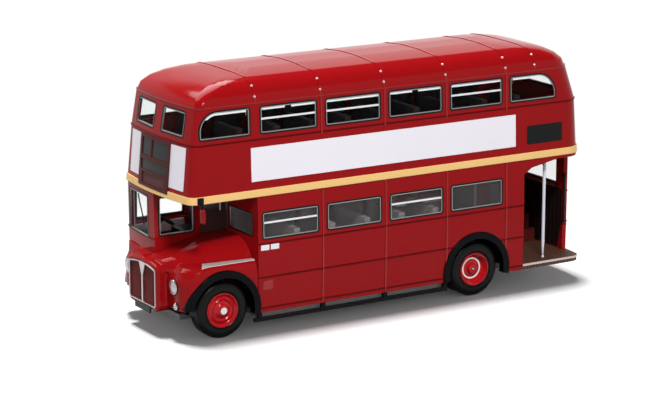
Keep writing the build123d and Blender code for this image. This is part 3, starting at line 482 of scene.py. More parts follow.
class Form:
    """A mesh being modelled with bmesh operators; its sizes are given in millimetres."""

    def __init__(self) -> None:
        """Start with nothing."""
        self.bm = bmesh.new()

    @classmethod
    def box(cls, x: Span, y: Span, z: Span, soften: float = 0.0, segments: int = 2) -> "Form":
        """Box between two ends on each axis, with softened edges.

        Args:
            x: Ends along the bus.
            y: Ends across it.
            z: Ends of its height.
            soften: Width of the edge rounding.
            segments: Steps of the rounding.

        Returns:
            The box.
        """
        form = cls()
        bmesh.ops.create_cube(form.bm, size=1.0)
        ends = [sorted(pair) for pair in (x, y, z)]
        size = Vector([(high - low) * MM for low, high in ends])
        middle = Vector([(high + low) / 2 * MM for low, high in ends])
        bmesh.ops.scale(form.bm, vec=size, verts=form.bm.verts)
        bmesh.ops.translate(form.bm, vec=middle, verts=form.bm.verts)
        return form.soften(soften, segments) if soften else form

    @classmethod
    def boxes(cls, blocks: Iterable[Block], soften: float) -> "Form":
        """Several boxes as one form, each given by its ends on the three axes."""
        return cls().join(*(cls.box(*block, soften) for block in blocks))

    @classmethod
    def rod(
        cls, start: Sequence[float], end: Sequence[float], radius: float, tip: float | None = None
    ) -> "Form":
        """Round bar between two points, with softened ends.

        Args:
            start: Centre of its first end.
            end: Centre of its second end.
            radius: Radius at the first end.
            tip: Radius at the second end, if it differs.

        Returns:
            The bar.
        """
        form = cls()
        line = (Vector(end) - Vector(start)) * MM
        bmesh.ops.create_cone(
            form.bm,
            cap_ends=True,
            segments=24,
            radius1=radius * MM,
            radius2=(radius if tip is None else tip) * MM,
            depth=line.length,
        )
        turn = Vector((0, 0, 1)).rotation_difference(line).to_matrix().to_4x4()
        middle = (Vector(start) + Vector(end)) / 2 * MM
        form.carry(Matrix.Translation(middle) @ turn)
        return form.soften(0.25 * min(radius, tip or radius), 2, form.creases(1.0))

    @classmethod
    def turned(cls, profile: Sequence[Span], steps: int = 72) -> "Form":
        """Solid of revolution about the X axis.

        Args:
            profile: Points of (distance along the axis, radius), from one end round to the other.
            steps: Steps round the axis.

        Returns:
            The turned form, its axis along +X.
        """
        form = cls()
        points = [form.bm.verts.new((along * MM, 0, radius * MM)) for along, radius in profile]
        edges = [form.bm.edges.new(pair) for pair in zip(points, points[1:])]
        bmesh.ops.spin(
            form.bm,
            geom=points + edges,
            cent=(0, 0, 0),
            axis=(1, 0, 0),
            angle=2 * math.pi,
            steps=steps,
            use_merge=True,
        )
        bmesh.ops.remove_doubles(form.bm, verts=form.bm.verts, dist=1e-7)
        return form.face_out()

    @classmethod
    def plate(cls, width: float, height: float, radii: Sequence[float]) -> "Form":
        """Flat plate in the XY plane with rounded corners.

        Args:
            width: Size along X.
            height: Size along Y.
            radii: Corner radii, anticlockwise from the lower left.

        Returns:
            A form of one face.
        """
        form = cls()
        bmesh.ops.create_grid(form.bm, x_segments=1, y_segments=1, size=0.5)
        bmesh.ops.scale(form.bm, vec=(width * MM, height * MM, 1), verts=form.bm.verts)
        signs = ((-1, -1), (1, -1), (1, 1), (-1, 1))
        corners = [
            next(v for v in form.bm.verts if v.co.x * across > 0 and v.co.y * up > 0) for across, up in signs
        ]
        for corner, radius in zip(corners, radii):
            bmesh.ops.bevel(
                form.bm,
                geom=[corner],
                offset=radius * MM,
                offset_type="OFFSET",
                segments=max(4, round(radius * 4)),
                profile=0.5,
                affect="VERTICES",
                material=-1,
            )
        return form

    @classmethod
    def of_node(cls, name: str) -> "Form":
        """Copy of a frame node's mesh, with its doubled vertices merged."""
        form = cls()
        form.bm.from_mesh(frame["nodes"][name].data)
        bmesh.ops.remove_doubles(form.bm, verts=form.bm.verts, dist=1e-6)
        return form

    def join_flats(self, degrees: float = 0.5) -> "Form":
        """Join faces that lie in one plane."""
        bmesh.ops.dissolve_limit(
            self.bm,
            angle_limit=math.radians(degrees),
            verts=self.bm.verts,
            edges=self.bm.edges,
            delimit={"NORMAL"},
        )
        return self

    def ring(self, width: float) -> "Form":
        """Turn a flat plate into a frame of a width."""
        middle = list(self.bm.faces)
        bmesh.ops.inset_region(
            self.bm, faces=middle, thickness=width * MM, use_even_offset=True, use_boundary=True
        )
        bmesh.ops.delete(self.bm, geom=middle, context="FACES")
        return self

    def close(self) -> "Form":
        """Fill the openings that a cut has left."""
        bmesh.ops.holes_fill(self.bm, edges=[edge for edge in self.bm.edges if edge.is_boundary])
        return self.face_out()

    def face_out(self) -> "Form":
        """Turn all faces outwards."""
        bmesh.ops.recalc_face_normals(self.bm, faces=self.bm.faces)
        return self

    def creases(self, angle: float) -> list[bmesh.types.BMEdge]:
        """Edges between two faces that meet more sharply than an angle in radians."""
        return [e for e in self.bm.edges if len(e.link_faces) == 2 and e.calc_face_angle() > angle]

    def soften(self, width: float, segments: int = 2, edges: Iterable | None = None) -> "Form":
        """Round some edges, or every edge sharper than 30 degrees."""
        if edges is None:
            edges = self.creases(math.radians(30))
        bmesh.ops.bevel(
            self.bm,
            geom=list(edges),
            offset=width * MM,
            offset_type="OFFSET",
            segments=segments,
            profile=0.5,
            affect="EDGES",
            clamp_overlap=True,
            material=-1,
        )
        return self

    def carry(self, matrix: Matrix) -> "Form":
        """Move the form by a matrix in metres."""
        bmesh.ops.transform(self.bm, matrix=matrix, verts=self.bm.verts)
        return self

    def stand(self, side: Side, middle: Sequence[float]) -> "Form":
        """Stand a flat plate on a side of the bus, its X along the bus or across it and its Y up."""
        outward = side.value
        along = Vector((1, 0, 0)) if abs(outward.y) > 0.5 else Vector((0, 1, 0))
        up = Vector((0, 0, 1)) if abs(outward.z) < 0.5 else Vector((1, 0, 0))
        turn = Matrix((along, up, outward)).transposed().to_4x4()
        return self.carry(Matrix.Translation(Vector(middle) * MM) @ turn).face_out()

    def divide(self, cuts: int) -> "Form":
        """Cut all edges, so that a plate can follow a curved wall."""
        bmesh.ops.triangulate(self.bm, faces=self.bm.faces)
        bmesh.ops.subdivide_edges(self.bm, edges=self.bm.edges, cuts=cuts, use_grid_fill=True)
        return self

    def slice(self, axis: int, ends: Span) -> "Form":
        """Keep only what lies between two places on an axis."""
        for place, way in ((ends[0], -1), (ends[1], 1)):
            point, normal = Vector((0, 0, 0)), Vector((0, 0, 0))
            point[axis] = place * MM
            normal[axis] = way
            bmesh.ops.bisect_plane(
                self.bm, geom=self.everything(), plane_co=point, plane_no=normal, clear_outer=True
            )
        return self

    def everything(self) -> list:
        """All vertices, edges and faces."""
        return [*self.bm.verts, *self.bm.edges, *self.bm.faces]

    def keep_faces(self, test: Callable[[bmesh.types.BMFace], bool]) -> "Form":
        """Delete the faces that fail a test."""
        self.bm.normal_update()
        lost = [face for face in self.bm.faces if not test(face)]
        bmesh.ops.delete(self.bm, geom=lost, context="FACES")
        return self

    def proud(self, height: float) -> "Form":
        """Raise a patch of skin into a strip that stands proud along its normals."""
        self.bm.normal_update()
        lifted = {vert: vert.co + vert.normal * height * MM for vert in self.bm.verts}
        made = bmesh.ops.extrude_face_region(self.bm, geom=list(self.bm.faces), use_keep_orig=True)
        origin = {vert.co.copy().freeze(): place for vert, place in lifted.items()}
        for item in made["geom"]:
            if isinstance(item, bmesh.types.BMVert):
                item.co = origin[item.co.copy().freeze()]
        return self.face_out()

    def lay_on(self, tree: BVHTree, side: Side, datum: float) -> "Form":
        """Carry each vertex along a side's normal, so that the datum plane follows a surface.

        Args:
            tree: Surface to lie on.
            side: Side that the form is on.
            datum: Place of the form's datum plane along that side's normal.

        Returns:
            This form.
        """
        outward = side.value
        reach = 0.2
        for vert in self.bm.verts:
            depth = vert.co.dot(outward)
            hit = tree.ray_cast(vert.co + outward * (reach - depth), -outward)[0]
            if hit is not None:
                vert.co += outward * (hit.dot(outward) - datum * MM)
        return self

    def rise(self, side: Side, depth: float) -> "Form":
        """Raise a flat sheet outwards into a solid.

        Args:
            side: Side that it lies on.
            depth: Its thickness, in millimetres.

        Returns:
            This form, closed.
        """
        made = bmesh.ops.extrude_face_region(self.bm, geom=list(self.bm.faces), use_keep_orig=True)
        lifted = [item for item in made["geom"] if isinstance(item, bmesh.types.BMVert)]
        bmesh.ops.translate(self.bm, vec=side.value * depth * MM, verts=lifted)
        return self.face_out()

    def clad(self, tree: BVHTree, side: Side, middle: Vector, depth: float) -> "Form":
        """Stand a flat plate on a side of the bus, bend it to a surface and raise it into a solid.

        Args:
            tree: Surface to lie on.
            side: Side that it is on.
            middle: Place of the plate's middle.
            depth: Its thickness.

        Returns:
            This form, closed.
        """
        self.stand(side, middle).lay_on(tree, side, middle.dot(side.value))
        return self.rise(side, depth)

    def join(self, *others: "Form") -> "Form":
        """Add other forms to this one."""
        for other in others:
            mesh = bpy.data.meshes.new("joined")
            other.bm.to_mesh(mesh)
            self.bm.from_mesh(mesh)
            bpy.data.meshes.remove(mesh)
            other.bm.free()
        return self

    def twin(self, matrix: Matrix) -> "Form":
        """Copy of this form, moved by a matrix and facing outwards."""
        form = Form()
        form.bm = self.bm.copy()
        return form.carry(matrix).face_out()

    def tree(self) -> BVHTree:
        """Search tree of the form's surface."""
        return BVHTree.FromBMesh(self.bm)


@dataclass
class Piece:
    """A finished piece: its name, the body it rides on, its finish and a slot name."""

    name: str
    finish: Finish
    slot: str
    body: str = "body"
    stands_for: tuple[str, ...] = ()
    smooth_degrees: float = 35.0

    def make(self, form: Form, soften: float = 0.0) -> bpy.types.Object:
        """Turn a form into the piece's object.

        Args:
            form: The modelled form, which is used up.
            soften: Width of a live edge rounding, in millimetres.

        Returns:
            The object, riding on its body.
        """
        mesh = bpy.data.meshes.new(self.name)
        form.bm.to_mesh(mesh)
        form.bm.free()
        mesh.shade_smooth()
        mesh.set_sharp_from_angle(angle=math.radians(self.smooth_degrees))
        piece = bpy.data.objects.new(self.name, mesh)
        bpy.context.scene.collection.objects.link(piece)
        mesh.materials.append(self.finish.material())
        if soften:
            self._soften(piece, soften)
        weighted = piece.modifiers.new("even_normals", "WEIGHTED_NORMAL")
        weighted.keep_sharp = True
        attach(piece, self.body)
        if self.stands_for:
            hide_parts(*self.stands_for)
        LOG.info("%s: %d faces", self.name, len(mesh.polygons))
        return piece

    @staticmethod
    def _soften(piece: bpy.types.Object, width: float) -> None:
        """Round the piece's sharp edges with a modifier."""
        bevel = piece.modifiers.new("soft_edges", "BEVEL")
        bevel.width = width * MM
        bevel.segments = 2
        bevel.limit_method = "ANGLE"
        bevel.angle_limit = math.radians(40)
        bevel.harden_normals = True
        bevel.use_clamp_overlap = True


def dress_node(name: str, finish: Finish) -> None:
    """Give a frame node that stays in view its finish.

    Args:
        name: The node.
        finish: Its finish.
    """
    node = frame["nodes"][name]
    node.data.materials.clear()
    node.data.materials.append(finish.material())
    LOG.info("%s keeps its solid, in %s", name, finish.name)


def millimetres(node: str) -> tuple[Vector, Vector]:
    """Lowest and highest corner of a frame node, in millimetres."""
    low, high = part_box(node)
    return low / MM, high / MM


@dataclass
class Castings:
    """The painted castings and the other solids that keep their own form."""

    edge_mm: float = 0.12
    cowl_voxel_mm: float = 0.2
    cowl_ease: int = 7
    cast: Sequence[tuple[str, str, Finish, str]] = (
        ("upper_deck_casting", "upper_deck_shell", RED, "red_paint"),
        ("lower_deck_casting", "lower_deck_shell", RED, "red_paint"),
        # The destination frame's dark red is painted shade.
        ("destination_box", "destination_frame", SHADED_BOX_RED, "red_paint"),
        ("waist_band", "cream_band", CREAM, "cream_paint"),
        ("grille_surround", "bright_grille_surround", DULL_PLATING, "silver"),
        ("arch_liners", "black_arch_liners", WELL_BLACK, "black_plastic"),
        ("rear_platform", "platform_floor", FLOOR_BOARDS, "platform"),
    )
    plain: Sequence[tuple[str, Finish]] = (
        ("upper_glazing", GLASS),
        ("lower_glazing", HAZY_GLASS),
        ("cab_glazing", GLASS),
        ("upper_saloon", UPPER_TRIM),
        ("lower_saloon", LOWER_TRIM),
        ("staircase", STAIR_TRIM),
        ("cab_fittings", BLACK),
        ("steering_wheel", BLACK),
        # The base plate's grey is painted floor shadow.
        ("base_plate", BASE_GREY_FLOOR_SHADE),
        ("lifeguard_rails", BLACK),
        ("destination_blinds", BLIND),
        ("air_intake", INTAKE),
        ("tail_lamps", TAIL_RED),
        ("front_axle", STEEL),
        ("rear_axle", STEEL),
    )

    def build(self) -> None:
        """Copy the castings with soft edges, and dress what stays as it is."""
        for node, name, finish, slot in self.cast:
            form = Form.of_node(node).join_flats()
            Piece(name, finish, slot, stands_for=(node,)).make(form, self.edge_mm)
        self.cowl()
        for node, finish in self.plain:
            dress_node(node, finish)

    def cowl(self) -> None:
        """Front cowl, whose cast forms flow into each other with no crease."""
        piece = Piece("front_cowl_shell", RED, "red_paint", stands_for=("front_cowl",), smooth_degrees=70.0)
        shell = piece.make(Form.of_node("front_cowl"))
        flow = shell.modifiers.new("cast_flow", "REMESH")
        flow.mode = "VOXEL"
        flow.voxel_size = self.cowl_voxel_mm * MM
        flow.use_smooth_shade = True
        ease = shell.modifiers.new("cast_ease", "SMOOTH")
        ease.factor = 0.5
        ease.iterations = self.cowl_ease
        shell.modifiers.move(shell.modifiers.find("even_normals"), len(shell.modifiers) - 1)


@dataclass
class Pane:
    """One pane of glazing, with the way it looks and its box in millimetres."""

    low: Vector
    high: Vector
    side: Side

    @property
    def middle(self) -> Vector:
        """Centre of the pane."""
        return (self.low + self.high) / 2

    def span(self) -> Span:
        """Width and height of the window in front of the pane."""
        size = self.high - self.low
        width = size.x if abs(self.side.value.y) > 0.5 else size.y
        return width - 2 * PANE_REBATE, size.z - 2 * PANE_REBATE


def islands(bm: bmesh.types.BMesh) -> list[list[bmesh.types.BMVert]]:
    """Vertices of each separate solid in a mesh."""
    left = set(bm.verts)
    groups = []
    while left:
        group, front = [], [left.pop()]
        while front:
            vert = front.pop()
            group.append(vert)
            near = {edge.other_vert(vert) for edge in vert.link_edges} & left
            left -= near
            front.extend(near)
        groups.append(group)
    return groups


def solid_boxes(node: str) -> list[tuple[Vector, Vector]]:
    """Lowest and highest corner of each solid in a frame node.

    Args:
        node: The node.

    Returns:
        The corners in millimetres, from the front of the bus to its rear.
    """
    form = Form.of_node(node)
    boxes = []
    for group in islands(form.bm):
        places = [vert.co / MM for vert in group]
        low, high = (
            Vector([end(place[axis] for place in places) for axis in range(3)]) for end in (min, max)
        )
        boxes.append((low, high))
    form.bm.free()
    return sorted(boxes, key=lambda box: (-box[1].x, box[1].y, box[1].z))


@dataclass
class WindowTrim:
    """Gaskets, silver frames and opening rails of every window."""

    gasket_mm: float = 0.36
    silver_mm: float = 0.2
    proud_mm: float = 0.3
    vent_mm: float = 0.5
    split_bays: Sequence[int] = (0, 2)
    split_mm: float = 1.7
    corner_mm: float = 0.8
    front_sweep_mm: float = 4.6
    rear_sweep_mm: float = 5.4
    rail_mm: float = 0.4
    upper_rails: Sequence[int] = (0, 1, 3)
    lower_rails: Sequence[int] = (0, 2)
    upper_rail_share: float = 0.46
    lower_rail_share: float = 0.40
    lap_mm: float = 0.02
    lip_mm: float = 0.06
    vent_sink_mm: float = 0.1
    vent_turn_mm: float = 0.8
    least_radius_mm: float = 0.3
    rail_corner_mm: float = 0.1

    def panes(self, node: str) -> list[Pane]:
        """Panes of a glazing node, front to rear."""
        return [Pane(low, high, self.facing(low, high)) for low, high in solid_boxes(node)]

    @staticmethod
    def facing(low: Vector, high: Vector) -> Side:
        """Way that a pane looks, from its box; the pane beside the bonnet looks to the nearside."""
        size, middle = high - low, (low + high) / 2
        if size.x < size.y:
            return Side.FRONT if middle.x > 0 else Side.REAR
        return Side.OFF if middle.y < OFFSIDE_Y else Side.NEAR

    def radii(self, swept: int) -> list[float]:
        """Corner radii of a window, anticlockwise from the lower left in X and Z."""
        radii = [self.corner_mm] * 4
        if swept > 0:
            radii[2] = self.front_sweep_mm
        if swept < 0:
            radii[3] = self.rear_sweep_mm
        return radii

    def frame_of(
        self, pane: Pane, tree: BVHTree, swept: int, inset: float, width: float, depth: float
    ) -> Form:
        """One ring round a window, laid on its pane.

        Args:
            pane: The pane.
            tree: Surface of the glazing.
            swept: Which upper corner is swept: 1 at the front, -1 at the rear, 0 for none.
            inset: Gap from the window's edge.
            width: Width of the ring.
            depth: Height of the ring over the glass.

        Returns:
            The ring.
        """
        across, up = pane.span()
        radii = [max(self.least_radius_mm, radius - inset) for radius in self.radii(swept)]
        form = Form.plate(across - 2 * inset, up - 2 * inset, radii).ring(width)
        return form.clad(tree, pane.side, pane.middle, depth)

    def vent_of(self, pane: Pane, tree: BVHTree, swept: int) -> Form:
        """Pale strip along the top of a window, which follows a swept corner."""
        inset = self.gasket_mm + self.silver_mm
        form = self.frame_of(pane, tree, swept, inset, self.vent_mm, self.proud_mm - self.vent_sink_mm)
        top = pane.high.z - PANE_REBATE - inset
        reach = self.vent_mm + (self.vent_turn_mm if swept else -self.lap_mm)
        form.slice(2, (top - reach, top + PAST_MM))
        leg = PANE_REBATE + inset + self.vent_mm
        ends = (pane.low.x + leg * (swept > 0), pane.high.x - leg * (swept < 0))
        return form.slice(0, ends).close()

    def split(self, vent: Form, pane: Pane, parted: bool) -> list[Form]:
        """Part a pale strip in the middle of its window, where it has two halves.

        Args:
            vent: The strip.
            pane: Its pane.
            parted: Whether it has two halves.

        Returns:
            The strip, or its two halves.
        """
        if not parted:
            return [vent]
        other = vent.twin(Matrix.Identity(4))
        gap = self.split_mm / 2
        ahead = vent.slice(0, (pane.middle.x + gap, pane.high.x)).close()
        return [ahead, other.slice(0, (pane.low.x, pane.middle.x - gap)).close()]

    def rail_of(self, pane: Pane, tree: BVHTree, share: float) -> Form:
        """Level rail across a window, at a share of its height from the top."""
        across, up = pane.span()
        middle = pane.middle.copy()
        middle.z += up * (0.5 - share)
        form = Form.plate(across - self.gasket_mm, self.rail_mm, [self.rail_corner_mm] * 4)
        return form.clad(tree, pane.side, middle, self.proud_mm)

    def build(self) -> None:
        """Make the trim of both decks and of the cab."""
        self.deck("upper", "upper_glazing", self.upper_rails, self.upper_rail_share, True)
        self.deck("lower", "lower_glazing", self.lower_rails, self.lower_rail_share, False)
        self.deck("cab", "cab_glazing", (), 0.0, False)

    def deck(self, deck: str, node: str, rails: Sequence[int], share: float, swept_ends: bool) -> None:
        """Make one deck's gaskets, frames and rails.

        Args:
            deck: Name of the deck.
            node: Its glazing node.
            rails: Bays with an opening rail, counted from the bulkhead.
            share: Place of the rail, as a share of the window's height from its top.
            swept_ends: Whether the first and last side windows have a swept corner.
        """
        tree = Form.of_node(node).tree()
        gaskets, frames, vents, bars = Form(), Form(), Form(), Form()
        for pane in self.panes(node):
            swept = 0
            sideways = pane.side in (Side.NEAR, Side.OFF)
            if swept_ends and sideways and pane.low.x > BULKHEAD_X:
                swept = 1
            if swept_ends and sideways and pane.high.x < PILLARS[-1]:
                swept = -1
            lip = self.proud_mm + self.lip_mm
            gaskets.join(self.frame_of(pane, tree, swept, self.lap_mm, self.gasket_mm, lip))
            inset = self.gasket_mm + self.lap_mm
            frames.join(self.frame_of(pane, tree, swept, inset, self.silver_mm, self.proud_mm))
            bay = round((BULKHEAD_X - BAY_PITCH / 2 - pane.middle.x) / BAY_PITCH)
            if sideways and not swept and bay in rails:
                bars.join(self.rail_of(pane, tree, share))
            if sideways and swept_ends:
                parted = not swept and bay in self.split_bays
                vents.join(*self.split(self.vent_of(pane, tree, swept), pane, parted))
        for name, finish, slot, form in (
            ("gaskets", GASKET, "black_plastic", gaskets),
            ("frames", SILVER, "silver", frames),
            ("rails", BRIGHT_RAIL, "silver", bars),
            # The pale top strips' near-white is painted light.
            ("vents", PALE_VENT_LIGHT, "silver", vents),
        ):
            if form.bm.verts:
                Piece(f"{deck}_window_{name}", finish, slot).make(form)


@dataclass
class Beading:
    """Beads and cover strips that stand on the castings."""

    bead_mm: float = 0.22
    strip_mm: float = 0.2
    proud_mm: float = 0.2
    roof_proud_mm: float = 0.12
    stud_mm: float = 0.3
    stud_heights: Sequence[float] = (53.6, 55.8)
    stud_reach_mm: float = 40.0
    strip_edge_mm: float = 0.06
    roof_depth_mm: float = 6.0
    roof_z: Span = (GUTTER_Z - 0.1, 70.0)
    gutter_z: Span = (GUTTER_Z - 0.28, GUTTER_Z + 0.06)
    strip_z: Sequence[tuple[str, Span]] = (
        ("lower_deck_casting", (5.0, 31.2)),
        ("upper_deck_casting", (43.6, 52.1)),
    )

    @staticmethod
    def outside(face: bmesh.types.BMFace) -> bool:
        """Whether a wall face looks away from the middle of the bus."""
        centre = face.calc_center_median() / MM
        rear, front = STRAIGHT_X
        away = Vector((centre.x - max(rear, min(front, centre.x)), centre.y, 0))
        return face.normal.dot(away.normalized()) > WALL_OUTWARD

    def skin(self, node: str, limits: Sequence[tuple[int, Span]], test: Callable, proud: float) -> Form:
        """Strip cut from a casting's outer skin.

        Args:
            node: The casting.
            limits: Axes and the spans to keep on them.
            test: Which faces are outside.
            proud: Height of the strip.

        Returns:
            The strip, closed.
        """
        form = Form.of_node(node)
        for axis, ends in limits:
            form.slice(axis, ends)
        return form.keep_faces(test).proud(proud)

    def build(self) -> None:
        """Make the beads of the roof, the walls and the gutter."""
        self.roof()
        self.walls()

    def roof(self) -> None:
        """Transverse beads over the roof, and the gutter round it."""
        top = Form()

        def upper_skin(face: bmesh.types.BMFace) -> bool:
            """Whether a face is on the outside of the roof."""
            centre = face.calc_center_median() / MM
            away = Vector((0, centre.y, centre.z - GUTTER_Z + self.roof_depth_mm))
            return face.normal.dot(away.normalized()) > ROOF_OUTWARD

        for x in ROOF_BEADS:
            limits = [(0, (x - self.strip_mm, x + self.strip_mm)), (2, self.roof_z)]
            top.join(self.skin("upper_deck_casting", limits, upper_skin, self.roof_proud_mm))
        Piece("roof_beads", BEAD_RED, "red_paint").make(top)
        self.highlight_studs()
        gutter = [(2, self.gutter_z)]
        Piece("roof_gutter", BEAD_RED, "red_paint").make(
            self.skin("upper_deck_casting", gutter, self.outside, self.roof_proud_mm)
        )

    def highlight_studs(self) -> None:
        """Pale dome heads on each roof bead at the shoulders of the roof; their pale pink colour is a
        painted highlight, standing for the glints on the beads.
        """
        tree = Form.of_node("upper_deck_casting").tree()
        domes = Form()
        radius = self.stud_mm
        profile = [(-0.2, radius), (0.14, radius), (0.3, radius * 0.6), (0.36, 0.0)]
        for x, z, side in product(ROOF_BEADS, self.stud_heights, (1, -1)):
            start = Vector((x, side * self.stud_reach_mm, z)) * MM
            hit, normal = tree.ray_cast(start, Vector((0, -side, 0)))[:2]
            turn = Vector((1, 0, 0)).rotation_difference(normal).to_matrix().to_4x4()
            domes.join(Form.turned(profile, 16).carry(Matrix.Translation(hit) @ turn))
        Piece("roof_bead_highlight_studs", PAINTED_GLINT, "red_paint", smooth_degrees=80.0).make(domes)

    def walls(self) -> None:
        """Upright cover strips and level beads on both decks; the level beads are a darker red, painted
        shade of the shadow line along each bead.
        """
        strips = Form()
        for x, (node, heights) in product(PILLARS[1:], self.strip_z):
            limits = [(0, (x - self.strip_mm, x + self.strip_mm)), (2, heights)]
            strips.join(self.skin(node, limits, self.outside, self.proud_mm))
        Piece("cover_strips", BEAD_RED, "red_paint").make(strips, self.strip_edge_mm)
        beads = Form()
        for z in (SKIRT_Z, RAIL_Z, LOWER_WAIST_Z):
            ends = (2, (z - self.bead_mm / 2, z + self.bead_mm / 2))
            beads.join(self.skin("lower_deck_casting", [ends], self.outside, self.proud_mm))
        ends = (2, (UPPER_WAIST_Z - self.bead_mm, UPPER_WAIST_Z))
        beads.join(self.skin("upper_deck_casting", [ends], self.outside, self.proud_mm))
        # The level beads' dark red is painted shade.
        Piece("level_beads", BEAD_SHADE_RED, "red_paint").make(beads)


@dataclass
class SignPanels:
    """Blank printed panels, notices and side blind on the walls, and the flap in the nearside."""

    side_x: Span = (-34.8, 36.25)
    side_z: Span = (34.8, 42.4)
    rear_blind_x: Span = (-48.2, -38.1)
    rear_blind_z: Span = (34.9, 39.3)
    front_y: Span = (6.4, 12.6)
    front_z: Span = (33.9, 43.5)
    notice_x: Sequence[Span] = ((32.1, 34.2), (29.6, 31.7))
    notice_z: Span = (19.0, 20.2)
    flap_x: Span = (31.2, 33.7)
    flap_z: Span = (9.8, 12.0)
    thick_mm: float = 0.08
    flap_thick_mm: float = 0.14
    rounded_mm: float = 0.3
    flap_edge_mm: float = 0.05
    cuts: int = 5

    def panel(
        self,
        side: Side,
        across: Span,
        up: Span,
        lift: float,
        radius: float = 0.05,
        wall: str = "upper_deck_casting",
    ) -> Form:
        """Thin panel laid on a deck's wall.

        Args:
            side: Side that it is on.
            across: Ends along the bus, or across it on the front.
            up: Ends of its height.
            lift: Its thickness.
            radius: Corner radius.
            wall: Node that it lies on.

        Returns:
            The panel.
        """
        tree = Form.of_node(wall).tree()
        middle = Vector((0, 0, sum(up) / 2))
        middle[0 if abs(side.value.y) > 0.5 else 1] = sum(across) / 2
        form = Form.plate(across[1] - across[0], up[1] - up[0], [radius] * 4).divide(self.cuts)
        return form.clad(tree, side, middle, lift)

    def build(self) -> None:
        """Make the panels."""
        printed = self.panel(Side.NEAR, self.side_x, self.side_z, self.thick_mm)
        for y in (self.front_y, (-self.front_y[1], -self.front_y[0])):
            printed.join(self.panel(Side.FRONT, y, self.front_z, self.thick_mm))
        lower = "lower_deck_casting"
        for x in self.notice_x:
            printed.join(self.panel(Side.NEAR, x, self.notice_z, self.thick_mm, wall=lower))
        Piece("blank_white_panels", WHITE_PRINT, "cream_paint").make(printed)
        flap = self.panel(Side.NEAR, self.flap_x, self.flap_z, self.flap_thick_mm, self.rounded_mm, lower)
        Piece("side_flap", BEAD_RED, "red_paint").make(flap, self.flap_edge_mm)
        blind = self.panel(Side.NEAR, self.rear_blind_x, self.rear_blind_z, self.thick_mm, self.rounded_mm)
        Piece("blank_side_blind", PLATE_BLACK, "blind").make(blind)


# Hub sections of (distance in from the tyre's face, radius), from the rim to the middle
FRONT_HUB = (
    (1.6, 3.97),
    (0.30, 3.97),
    (0.06, 3.86),
    (0.06, 3.66),
    (0.40, 3.48),
    (0.62, 3.2),
    (0.34, 2.66),
    (0.20, 2.50),
    (0.30, 2.34),
    (0.52, 2.1),
    (0.40, 1.62),
    (0.04, 1.34),
    (-0.06, 1.20),
    (-0.06, 0.78),
    (0.3, 0.7),
)
REAR_HUB = (
    (3.0, 3.97),
    (0.30, 3.97),
    (0.08, 3.86),
    (0.08, 3.66),
    (0.5, 3.46),
    (1.35, 3.1),
    (1.7, 2.75),
    (1.62, 2.2),
    (1.5, 1.9),
    (1.5, 1.35),
    (0.9, 1.2),
    (0.68, 1.0),
    (0.62, 0.4),
    (0.9, 0.25),
)


